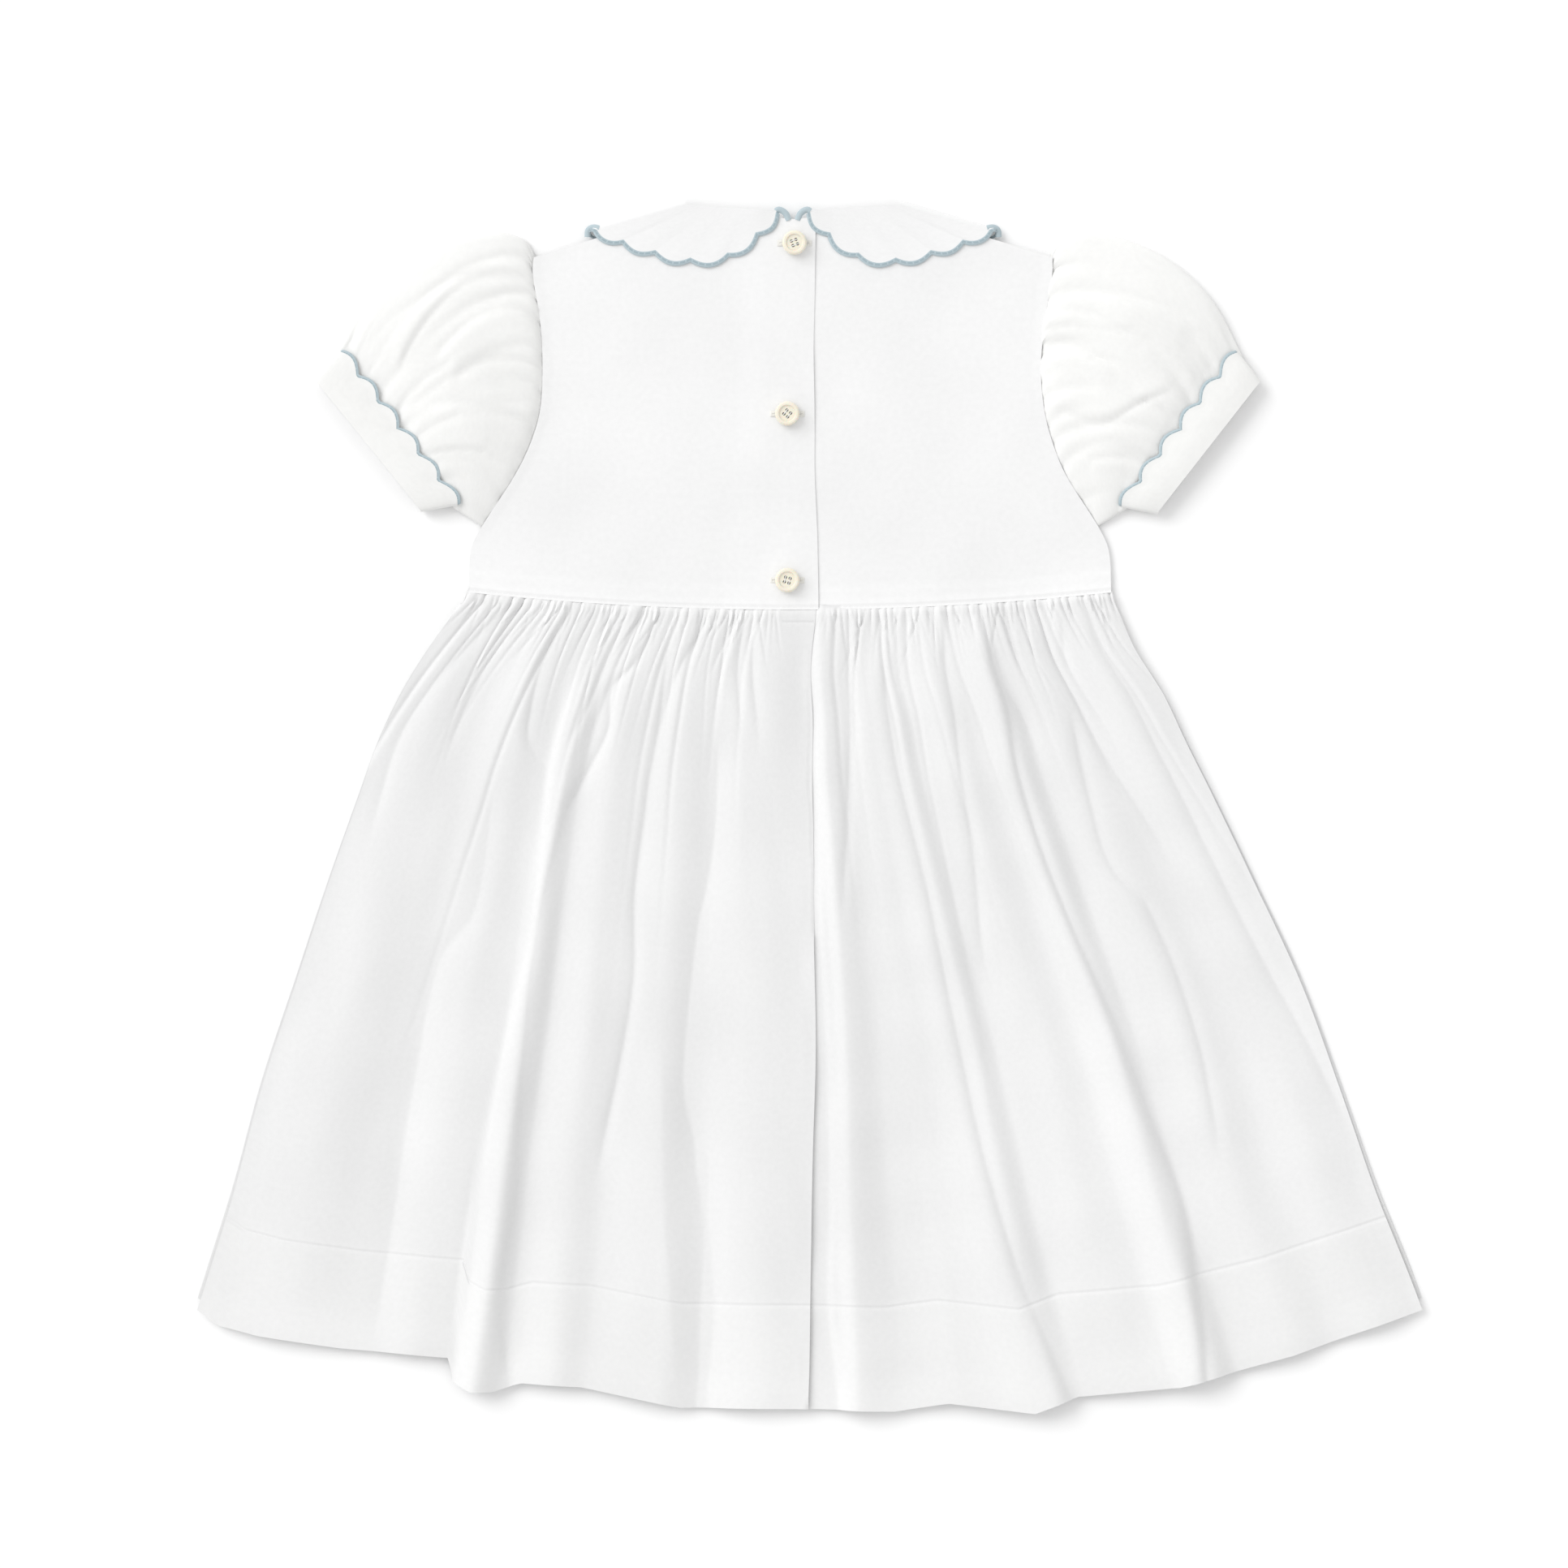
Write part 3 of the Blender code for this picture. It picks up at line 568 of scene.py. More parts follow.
def weave_group() -> bpy.types.NodeTree:
    """Plain weave on cloth coordinates: thread height and a mask of slubs."""
    tree = new_group("plain_weave", [("Cloth", "NodeSocketVector"), ("Pitch", "NodeSocketFloat")],
                     [("Height", "NodeSocketFloat"), ("Slubs", "NodeSocketFloat")])
    start, end = tree.nodes["in"], tree.nodes["out"]
    wobble = add_node(tree, "ShaderNodeTexNoise", "wandering threads")
    wobble.inputs["Scale"].default_value = 90.0
    wobble.inputs["Detail"].default_value = 1.0
    tree.links.new(start.outputs["Cloth"], wobble.inputs["Vector"])
    shift = add_node(tree, "ShaderNodeVectorMath", "small shift", operation="SCALE")
    shift.inputs["Scale"].default_value = 0.0006
    tree.links.new(wobble.outputs["Color"], shift.inputs[0])
    moved = add_node(tree, "ShaderNodeVectorMath", operation="ADD")
    tree.links.new(start.outputs["Cloth"], moved.inputs[0])
    tree.links.new(shift.outputs[0], moved.inputs[1])
    parts = add_node(tree, "ShaderNodeSeparateXYZ")
    tree.links.new(moved.outputs[0], parts.inputs[0])
    turns = maths(tree, "DIVIDE", 2.0 * math.pi, start.outputs["Pitch"])
    warp = maths(tree, "SINE", maths(tree, "MULTIPLY", parts.outputs["X"], turns))
    weft = maths(tree, "SINE", maths(tree, "MULTIPLY", parts.outputs["Y"], turns))
    tree.links.new(maths(tree, "MULTIPLY", warp, weft), end.inputs["Height"])
    slubs = add_node(tree, "ShaderNodeTexNoise", "slubs")
    slubs.inputs["Scale"].default_value = 420.0
    slubs.inputs["Detail"].default_value = 2.0
    tree.links.new(start.outputs["Cloth"], slubs.inputs["Vector"])
    tree.links.new(slubs.outputs["Fac"], end.inputs["Slubs"])
    return tree


def stitch_group() -> bpy.types.NodeTree:
    """Row of machine stitches, from the distance across and along a seam in millimetres."""
    tree = new_group("sewn_row", [("Across", "NodeSocketFloat"), ("Along", "NodeSocketFloat")],
                     [("Mask", "NodeSocketFloat"), ("Pucker", "NodeSocketFloat")])
    start, end = tree.nodes["in"], tree.nodes["out"]
    away = maths(tree, "ABSOLUTE", start.outputs["Across"])
    near = maths(tree, "LESS_THAN", away, 0.28)
    turn = maths(tree, "FRACT", maths(tree, "DIVIDE", start.outputs["Along"], 2.4))
    thread = maths(tree, "LESS_THAN", turn, 0.78)
    tree.links.new(maths(tree, "MULTIPLY", near, thread), end.inputs["Mask"])
    groove = add_node(tree, "ShaderNodeMapRange", "groove", interpolation_type="SMOOTHSTEP")
    groove.inputs["From Max"].default_value = 1.4
    tree.links.new(away, groove.inputs["Value"])
    tree.links.new(groove.outputs["Result"], end.inputs["Pucker"])
    return tree


# ---------------------------------------------------------------- finishes

@dataclass(frozen=True)
class ClothFinish:
    """Woven cotton, plain or dyed.

    Attributes:
        name: Name of the material.
        single: Colour of one layer.
        double: Colour where the cloth is doubled.
        thread: Colour of stitches; on the blue piping it is darker than the piping, painted shade of its sewn groove.
        pitch: Distance between threads, in metres.
        weave_depth: Height of a thread, in metres.
        roughness: Roughness of the surface.
        sheen: Weight of the soft nap.
        glow: Weight of light scattered in the cloth.
        shade_patch_scale: How close together the random patches of painted soft shade are.
        shade_patch_draw: How much those patches are squeezed along the cloth.
        shade_patch_depth: How much darker the painted shade gets; the lighter patches get a faint painted highlight.
    """

    name: str
    single: tuple[float, float, float]
    double: tuple[float, float, float]
    thread: tuple[float, float, float]
    pitch: float = 0.00045
    weave_depth: float = 0.00003
    roughness: float = 0.85
    sheen: float = 0.25
    glow: float = 0.0
    shade_patch_scale: float = 16.0
    shade_patch_draw: float = 1.0
    shade_patch_depth: float = 0.03

    def build(self, weave: bpy.types.NodeTree, sewn: bpy.types.NodeTree) -> bpy.types.Material:
        """Make the material.

        Args:
            weave: The plain weave group.
            sewn: The stitch row group.

        Returns:
            The material.
        """
        material = bpy.data.materials.new(self.name)
        material.use_nodes = True
        tree = material.node_tree
        shader = tree.nodes["Principled BSDF"]
        shader.inputs["Roughness"].default_value = self.roughness
        shader.inputs["Sheen Weight"].default_value = self.sheen
        shader.inputs["Sheen Roughness"].default_value = 0.5
        shader.inputs["Specular IOR Level"].default_value = 0.25
        if self.glow > 0.0:
            shader.inputs["Subsurface Weight"].default_value = self.glow
            shader.inputs["Subsurface Radius"].default_value = (1.0, 1.0, 1.0)
            shader.inputs["Subsurface Scale"].default_value = 0.0008
        uv = add_node(tree, "ShaderNodeUVMap", "cloth coordinates", uv_map="cloth")
        threads = add_node(tree, "ShaderNodeGroup", "weave", node_tree=weave)
        threads.inputs["Pitch"].default_value = self.pitch
        tree.links.new(uv.outputs["UV"], threads.inputs["Cloth"])
        row = add_node(tree, "ShaderNodeGroup", "stitches", node_tree=sewn)
        for label, name in (("Across", "stitch_across"), ("Along", "stitch_along")):
            source = add_node(tree, "ShaderNodeAttribute", label, attribute_name=name)
            tree.links.new(source.outputs["Fac"], row.inputs[label])
        doubled = add_node(tree, "ShaderNodeAttribute", "doubled cloth", attribute_name="doubled")
        layers = add_node(tree, "ShaderNodeMix", "layers", data_type="RGBA")
        layers.inputs[6].default_value = (*self.single, 1.0)
        layers.inputs[7].default_value = (*self.double, 1.0)
        tree.links.new(doubled.outputs["Fac"], layers.inputs[0])
        flecks = add_node(tree, "ShaderNodeMapRange", "uneven threads")
        flecks.inputs["From Min"].default_value = 0.25
        flecks.inputs["From Max"].default_value = 0.75
        flecks.inputs["To Min"].default_value = 0.965
        flecks.inputs["To Max"].default_value = 1.0
        tree.links.new(threads.outputs["Slubs"], flecks.inputs["Value"])
        # Painted shade: random soft patches, drawn out along the cloth, darken the cloth colour by up to the patch
        # depth and lighten it a little as a painted highlight, standing in for soft shading in the thin cloth.
        drawn = add_node(tree, "ShaderNodeVectorMath", "drawn out along the cloth", operation="MULTIPLY")
        drawn.inputs[1].default_value = (1.0, self.shade_patch_draw, 1.0)
        tree.links.new(uv.outputs["UV"], drawn.inputs[0])
        clouds = add_node(tree, "ShaderNodeTexNoise", "uneven whiteness")
        clouds.inputs["Scale"].default_value = self.shade_patch_scale
        clouds.inputs["Detail"].default_value = 2.0
        tree.links.new(drawn.outputs[0], clouds.inputs["Vector"])
        painted_shade_patches = add_node(tree, "ShaderNodeMapRange", "painted_shade_patches")
        painted_shade_patches.inputs["From Min"].default_value = 0.3
        painted_shade_patches.inputs["From Max"].default_value = 0.7
        painted_shade_patches.inputs["To Min"].default_value = 1.0 - self.shade_patch_depth
        painted_shade_patches.inputs["To Max"].default_value = 1.0 + 0.3 * self.shade_patch_depth
        tree.links.new(clouds.outputs["Fac"], painted_shade_patches.inputs["Value"])
        tint = add_node(tree, "ShaderNodeVectorMath", "tinted", operation="SCALE")
        tree.links.new(layers.outputs[2], tint.inputs[0])
        tree.links.new(maths(tree, "MULTIPLY", flecks.outputs["Result"], painted_shade_patches.outputs["Result"]),
                       tint.inputs["Scale"])
        sewn_colour = add_node(tree, "ShaderNodeMix", "thread", data_type="RGBA")
        sewn_colour.inputs[7].default_value = (*self.thread, 1.0)
        tree.links.new(row.outputs["Mask"], sewn_colour.inputs[0])
        tree.links.new(tint.outputs[0], sewn_colour.inputs[6])
        tree.links.new(sewn_colour.outputs[2], shader.inputs["Base Color"])
        groove = add_node(tree, "ShaderNodeBump", "sewn groove")
        groove.inputs["Strength"].default_value = 0.6
        groove.inputs["Distance"].default_value = 0.0004
        tree.links.new(row.outputs["Pucker"], groove.inputs["Height"])
        bump = add_node(tree, "ShaderNodeBump", "thread relief")
        bump.inputs["Strength"].default_value = 0.5
        bump.inputs["Distance"].default_value = self.weave_depth
        tree.links.new(threads.outputs["Height"], bump.inputs["Height"])
        tree.links.new(groove.outputs["Normal"], bump.inputs["Normal"])
        tree.links.new(bump.outputs["Normal"], shader.inputs["Normal"])
        return material


@dataclass(frozen=True)
class ButtonFinish:
    """Ivory button resin with faint clouds.

    Attributes:
        name: Name of the material.
        pale: The lighter colour.
        warm: The warmer colour.
    """

    name: str = "ivory_resin"
    pale: tuple[float, float, float] = (0.84, 0.81, 0.71)
    warm: tuple[float, float, float] = (0.78, 0.72, 0.58)

    def build(self) -> bpy.types.Material:
        """Make the material."""
        material = bpy.data.materials.new(self.name)
        material.use_nodes = True
        tree = material.node_tree
        shader = tree.nodes["Principled BSDF"]
        shader.inputs["Roughness"].default_value = 0.32
        shader.inputs["Coat Weight"].default_value = 0.2
        shader.inputs["Subsurface Weight"].default_value = 0.15
        shader.inputs["Subsurface Scale"].default_value = 0.0015
        place = add_node(tree, "ShaderNodeTexCoord")
        clouds = add_node(tree, "ShaderNodeTexNoise", "clouds")
        clouds.inputs["Scale"].default_value = 260.0
        clouds.inputs["Detail"].default_value = 3.0
        tree.links.new(place.outputs["Object"], clouds.inputs["Vector"])
        blend = add_node(tree, "ShaderNodeMix", "ivory", data_type="RGBA")
        blend.inputs[6].default_value = (*self.pale, 1.0)
        blend.inputs[7].default_value = (*self.warm, 1.0)
        tree.links.new(clouds.outputs["Fac"], blend.inputs[0])
        tree.links.new(blend.outputs[2], shader.inputs["Base Color"])
        return material


@dataclass
class Finishes:
    """Every finish of the dress, built once."""

    cotton: bpy.types.Material = field(init=False)
    bodice: bpy.types.Material = field(init=False)
    skirt: bpy.types.Material = field(init=False)
    sleeve: bpy.types.Material = field(init=False)
    edging: bpy.types.Material = field(init=False)
    thread: bpy.types.Material = field(init=False)
    button: bpy.types.Material = field(init=False)

    def __post_init__(self) -> None:
        """Build the shared groups and the materials."""
        weave, sewn = weave_group(), stitch_group()
        # The patch settings below set how much painted soft shade each cloth gets.
        self.cotton = ClothFinish("voile_collar", (0.84, 0.84, 0.84), (0.85, 0.85, 0.85),
                                  (0.84, 0.84, 0.84)).build(weave, sewn)
        self.bodice = ClothFinish("voile_bodice", (0.84, 0.84, 0.84), (0.852, 0.852, 0.852), (0.80, 0.80, 0.80),
                                  shade_patch_depth=0.035).build(weave, sewn)
        self.skirt = ClothFinish("voile_skirt", (0.79, 0.79, 0.79), (0.80, 0.80, 0.798), (0.775, 0.775, 0.775),
                                 shade_patch_scale=24.0, shade_patch_draw=0.28, shade_patch_depth=0.06).build(weave, sewn)
        self.sleeve = ClothFinish("voile_sleeve", (0.85, 0.85, 0.838), (0.835, 0.835, 0.822), (0.82, 0.82, 0.80),
                                  shade_patch_scale=30.0, shade_patch_depth=0.03).build(weave, sewn)
        blue = (0.46, 0.552, 0.59)
        # The piping's stitch colour is darker than the piping: painted shade for the sewn groove down its middle.
        self.edging = ClothFinish("blue_piping", blue, (0.48, 0.57, 0.60), (0.34, 0.43, 0.47), pitch=0.0006,
                                  weave_depth=0.00008, sheen=0.4).build(weave, sewn)
        self.thread = ClothFinish("sewing_thread", (0.84, 0.83, 0.79), (0.84, 0.83, 0.79), (0.8, 0.8, 0.8),
                                  pitch=0.0004, weave_depth=0.0001).build(weave, sewn)
        self.button = ButtonFinish().build()


# ---------------------------------------------------------------- making sheets

def apply_modifier(piece: bpy.types.Object, kind: str, **settings: object) -> None:
    """Add a modifier with settings and apply it."""
    bpy.ops.object.select_all(action="DESELECT")
    piece.select_set(True)
    bpy.context.view_layer.objects.active = piece
    modifier = piece.modifiers.new(kind.lower(), kind)
    for key, value in settings.items():
        setattr(modifier, key, value)
    bpy.ops.object.modifier_apply(modifier=modifier.name)


@dataclass
class ClothGrid:
    """A sheet of cloth from a grid of points.

    Attributes:
        name: The piece's name.
        columns: Steps across.
        rows: Steps down.
        wall: Thickness in millimetres.
        closed: True if the first and last columns meet in a tube.
    """

    name: str
    columns: int
    rows: int
    wall: float = SHELL
    closed: bool = False
    marks: dict[str, Array] = field(default_factory=dict)

    def shares(self) -> tuple[Array, Array]:
        """Shares across and down of every grid point, in the grid's own order."""
        across, down = np.meshgrid(np.linspace(0.0, 1.0, self.columns + 1), np.linspace(0.0, 1.0, self.rows + 1))
        return across.ravel(), down.ravel()

    def build(self, placed: Placed, cloth: tuple[Array, Array], material: bpy.types.Material,
              outward: Callable[[Array, Array], Array] | None = None, even: bool = True) -> bpy.types.Object:
        """Make the piece.

        Args:
            placed: x, y and z of every grid point, in millimetres.
            cloth: Cloth coordinates of every grid point, in millimetres.
            material: Its finish.
            outward: Gives each face's wanted direction from its middle, or None for up.
            even: True to keep the wall even round bends.

        Returns:
            The finished object.
        """
        bpy.ops.object.select_all(action="DESELECT")
        bpy.ops.mesh.primitive_grid_add(x_subdivisions=self.columns, y_subdivisions=self.rows, size=1.0)
        piece = bpy.context.active_object
        piece.name = piece.data.name = self.name
        mesh = piece.data
        points = np.stack(placed, axis=1).astype(np.float32) * MM
        mesh.vertices.foreach_set("co", points.ravel())
        corners = np.empty(len(mesh.loops), np.int32)
        mesh.loops.foreach_get("vertex_index", corners)
        layer = mesh.uv_layers[0] if mesh.uv_layers else mesh.uv_layers.new()
        layer.name = "cloth"
        flat = np.stack(cloth, axis=1).astype(np.float32) * MM
        layer.data.foreach_set("uv", flat[corners].ravel())
        for label in ("doubled", "stitch_across", "stitch_along"):
            values = self.marks.get(label, np.full(len(points), 99.0 if label == "stitch_across" else 0.0))
            attribute = mesh.attributes.new(label, "FLOAT", "POINT")
            attribute.data.foreach_set("value", np.asarray(values, np.float32))
        mesh.materials.append(material)
        mesh.update()
        self._face(mesh, outward)
        apply_modifier(piece, "SOLIDIFY", thickness=self.wall * MM, offset=1.0, use_even_offset=even,
                       use_quality_normals=True)
        bpy.ops.object.shade_smooth_by_angle(angle=math.radians(50.0))
        return piece

    def _face(self, mesh: bpy.types.Mesh, outward: Callable[[Array, Array], Array] | None) -> None:
        """Merge the closing column, and turn the faces to the side that the wall grows on."""
        work = bmesh.new()
        work.from_mesh(mesh)
        if self.closed:
            bmesh.ops.remove_doubles(work, verts=work.verts, dist=0.00001)
        work.normal_update()
        middles = np.array([face.calc_center_median() for face in work.faces])
        normals = np.array([face.normal for face in work.faces])
        areas = np.array([face.calc_area() for face in work.faces])
        wanted = np.tile((0.0, 0.0, 1.0), (len(middles), 1)) if outward is None else outward(middles, normals)
        if float(((normals * wanted).sum(axis=1) * areas).sum()) < 0.0:
            bmesh.ops.reverse_faces(work, faces=work.faces)
        work.to_mesh(mesh)
        work.free()


def from_middle(middles: Array, normals: Array) -> Array:
    """Direction away from a flat tube's middle height."""
    away = np.zeros_like(middles)
    away[:, 2] = middles[:, 2] - middles[:, 2].mean()
    return away


def dress_piece(piece: bpy.types.Object, node: str) -> None:
    """Hide the solid that the piece stands for, and let the piece ride on the one body."""
    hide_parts(node)
    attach(piece, BODY)
    LOG.info("%s: %d faces", piece.name, len(piece.data.polygons))


# ---------------------------------------------------------------- the skirt

@dataclass
class SkirtBack:
    """One gathered half of the back skirt, with its folds, creases and doubled hem."""

    node: str
    folds: Sequence[Fold]
    creases: Sequence[Crease]
    start: tuple[tuple[float, float], ...]
    end: tuple[tuple[float, float], ...]
    laps_over: bool
    gathers: Sequence[Gathers]
    ripple: Ripple
    columns: int = 256
    rows: int = 190
    crowding: float = 1.35
    flat: tuple[float, float] = (0.30, 0.385)
    cut_area: float = 0.092

    def build(self, finishes: Finishes) -> bpy.types.Object:
        grid = ClothGrid("skirt_" + self.node, self.columns, self.rows)
        side, row = grid.shares()
        down = row ** self.crowding
        across = mix(smooth(self.start, down), smooth(self.end, down), side)
        x, y = skirt_point(across, down)
        y = y + UNDER_SEAM * (1.0 - ease(0.0, 0.012, down))
        width = skirt_width(down)
        rise = fold_rise(self.folds, across, down)
        for crease in self.creases:
            rise += crease.height(across, down, width)
        for tucks in self.gathers:
            rise += tucks.height(across, down, width) * ease(0.0025, 0.006, down)
        edges = ease(0.0, 0.03, side) * ease(0.0, 0.03, 1.0 - side)
        rise += self.ripple.height(x, y) * edges * ease(0.0, 0.1, down)
        lap = THIN_CLIMB * ease(*PLACKET_LAP, across) if self.laps_over else 0.0
        hem = ease(HEM_FROM - 0.002, HEM_FROM + 0.004, down)
        lift = GATHER_LIFT * ease(0.002, 0.0075, down) * (1.0 - 0.7 * ease(0.1, 0.45, down))
        curl = HEM_CURL * ease(0.95, 1.0, down)
        z = LAYER + lap + np.maximum(rise + lift, -0.4) + 0.3 * hem + curl
        grid.marks["doubled"] = hem
        at_hem = (down - HEM_FROM - 0.004) * SKIRT_LENGTH
        at_placket = y - PLACKET_ROW[2]
        sewn_placket = (down < 0.1) & (x > PLACKET_ROW[0]) & (x < PLACKET_ROW[1]) & self.laps_over
        grid.marks["stitch_across"] = np.where(sewn_placket, at_placket, at_hem)
        grid.marks["stitch_along"] = x
        piece = grid.build((x, y, z), (across * HEM_WIDTH, down * SKIRT_LENGTH), finishes.skirt)
        dress_piece(piece, self.node)
        return piece


@dataclass
class SkirtFront:
    """Front of the skirt, which lies on the ground."""

    node: str = "front_skirt"
    columns: int = 170
    rows: int = 110
    ripple: Ripple = Ripple(0.12, 60.0, 31)
    flat: tuple[float, float] = (0.56, 0.385)
    cut_area: float = 0.17

    def build(self, finishes: Finishes) -> bpy.types.Object:
        """Make the front skirt."""
        grid = ClothGrid("skirt_front_panel", self.columns, self.rows, wall=0.5)
        across, down = grid.shares()
        x, y = skirt_point(across, down, FRONT_HEM_LIFT)
        y = y + UNDER_SEAM * (1.0 - ease(0.0, 0.012, down))
        width = skirt_width(down)
        rise = self.ripple.height(x, y)
        for crease in FRONT_CREASES:
            rise += crease.height(across, down, width)
        rise += Gathers(60, 0.3, 2.0, 0.8, 0.1, 77).height(across, down, width)
        hem = ease(HEM_FROM - 0.002, HEM_FROM + 0.004, down)
        z = np.clip(rise + 0.4, 0.1, 0.75)
        grid.marks["doubled"] = hem
        grid.marks["stitch_across"] = (down - HEM_FROM - 0.004) * SKIRT_LENGTH
        grid.marks["stitch_along"] = across * HEM_WIDTH
        piece = grid.build((x, y, z), (across * HEM_WIDTH, down * SKIRT_LENGTH), finishes.skirt)
        dress_piece(piece, self.node)
        return piece


# ---------------------------------------------------------------- the bodice

@dataclass
class Bodice:
    """Front and the two halves of the back, the left lapped over the right."""

    ripple: Ripple = Ripple(0.16, 55.0, 12)
    allowance: float = 9.5
    armhole_seam: float = 0.35
    waist_tucks: Gathers = Gathers(40, 0.22, 2.0, 0.8, 0.08, 5)

    def _panel(self, node: str, columns: int, start: float, end: float, top: Callable[[Array], Array],
               level: Callable[[Array, Array], Array], finishes: Finishes) -> bpy.types.Object:
        """Make one panel of the bodice.

        Args:
            node: The solid that it stands for.
            columns: Steps across.
            start: Its left edge, as a share of the width.
            end: Its right edge.
            top: Its top line.
            level: Underside at shares across and heights y.
            finishes: The dress's finishes.

        Returns:
            The panel.
        """
        grid = ClothGrid("panel_" + node, columns, 100)
        side, up = grid.shares()
        across = mix(start, end, side)
        x, y = bodice_point(across, up, top)
        edges = ease(0.0, 0.06, side) * ease(0.0, 0.06, 1.0 - side) * ease(0.0, 0.08, up) * ease(0.0, 0.1, 1.0 - up)
        above = y - waist_y(across)
        band = 1.0 - ease(self.allowance - 0.5, self.allowance + 0.5, above)
        rise = self.ripple.height(x, y) * edges + 0.22 * band
        rise += EDGE_LIFT * (1.0 - ease(0.0, 5.0, above))
        from_side = np.minimum(x - smooth(BODICE_SIDES, y, 1), smooth(BODICE_SIDES, y, 2) - x)
        puckers = 0.75 + 0.25 * np.sin(y * 2.1 + 1.3 * np.sin(y * 0.37))
        rise += self.armhole_seam * puckers * (1.0 - ease(0.5, 4.5, from_side)) * ease(112.0, 124.0, y)
        rise += self.waist_tucks.height(across, up, 260.0)
        z = level(across, y) + np.maximum(rise, -0.1)
        grid.marks["doubled"] = band
        grid.marks["stitch_across"] = above - 1.2
        grid.marks["stitch_along"] = x
        piece = grid.build((x, y, z), (x, y), finishes.bodice)
        dress_piece(piece, node)
        return piece

    @staticmethod
    def _left_level(across: Array, y: Array) -> Array:
        """Underside of the left back, which climbs gently onto the right one."""
        x = mix(-146.0, 130.0, across)
        climb = THIN_CLIMB * ease(*PLACKET_LAP, across)
        return chest_lift(y) + LAYER + climb + button_swell(x, y)

    def build(self, finishes: Finishes) -> None:
        """Make the three panels."""
        self._panel("front_bodice", 150, 0.0, 1.0, front_top_y, lambda across, y: chest_lift(y) + 0.15, finishes)
        self._panel("back_bodice_right", 90, UNDERLAP_EDGE, 1.0, back_top_y,
                    lambda across, y: chest_lift(y) + LAYER, finishes)
        self._panel("back_bodice_left", 90, 0.0, BACK_EDGE, back_top_y,
                    self._left_level, finishes)


# ---------------------------------------------------------------- sleeves and cuffs

SLEEVE_HEAD = (
    # share of the head's length, left x and y, right x and y
    (0.064, -121.6, 244.0, 106.2, 243.8),
    (0.120, -126.9, 247.1, 111.4, 246.7),
    (0.200, -135.6, 248.5, 120.0, 248.1),
    (0.360, -153.5, 245.4, 137.2, 244.9),
    (0.550, -171.3, 235.2, 155.8, 235.8),
    (0.770, -189.5, 219.1, 173.2, 219.2),
)
SLEEVE_CREASES = (
    # each path is (share from armhole to cuff, share from the head to the underarm), left then right sleeve
    (Crease(((0.02, 0.17), (0.30, 0.15), (0.55, 0.20), (0.80, 0.30)), depth=0.9, width=3.0, left=1.5, reach=7.0),
     Crease(((0.02, 0.28), (0.25, 0.27), (0.60, 0.36)), depth=1.1, width=2.6, right=1.2, reach=6.0),
     Crease(((0.02, 0.44), (0.28, 0.43), (0.55, 0.46)), depth=1.2, width=2.4, left=1.3, reach=7.0),
     Crease(((0.05, 0.58), (0.35, 0.60), (0.75, 0.52)), depth=0.8, width=3.4, right=0.8, reach=7.0),
     Crease(((0.35, 0.76), (0.92, 0.70)), depth=1.0, width=2.0, left=0.8, reach=5.0),
     Crease(((0.50, 0.40), (0.92, 0.44)), depth=1.0, width=2.0, right=0.8, reach=5.0),
     Crease(((0.55, 0.60), (0.94, 0.60)), depth=0.9, width=1.8, left=0.7, reach=4.0)),
    (Crease(((0.02, 0.20), (0.35, 0.20), (0.75, 0.14)), depth=1.0, width=3.0, right=1.5, reach=8.0),
     Crease(((0.02, 0.30), (0.28, 0.32), (0.5, 0.30)), depth=0.9, width=2.4, left=1.0, reach=6.0),
     Crease(((0.02, 0.39), (0.22, 0.41), (0.46, 0.44)), depth=1.5, width=1.8, right=1.2, reach=7.0, sharp=0.8),
     Crease(((0.10, 0.60), (0.45, 0.64), (0.80, 0.42)), depth=1.1, width=3.0, left=1.0, reach=7.0),
     Crease(((0.30, 0.79), (0.90, 0.75)), depth=1.1, width=2.0, right=0.9, reach=5.0),
     Crease(((0.60, 0.53), (0.93, 0.48)), depth=1.1, width=1.8, left=0.8, reach=4.0),
     Crease(((0.55, 0.30), (0.92, 0.27)), depth=0.9, width=2.0, right=0.8, reach=5.0)),
)
UNDERARM_Y = 120.6
CUFF_SEAM = (((-202.8, 197.4), (-150.7, 129.9)), ((185.0, 197.1), (133.5, 129.2)))
CUFF_END = (((-213.0, 184.8), (-166.4, 127.4)), ((194.4, 184.5), (148.9, 126.4)))
CUFF_HOLLOW = 5.0
CUFF_SCALLOPS = 6
CUFF_LOBE = 3.4
EDGING_WIDTH = 1.75


def on_line(line: tuple[tuple[float, float], tuple[float, float]], share: Array) -> tuple[Array, Array]:
    """Point on a straight line between two ends."""
    return mix(line[0][0], line[1][0], share), mix(line[0][1], line[1][1], share)


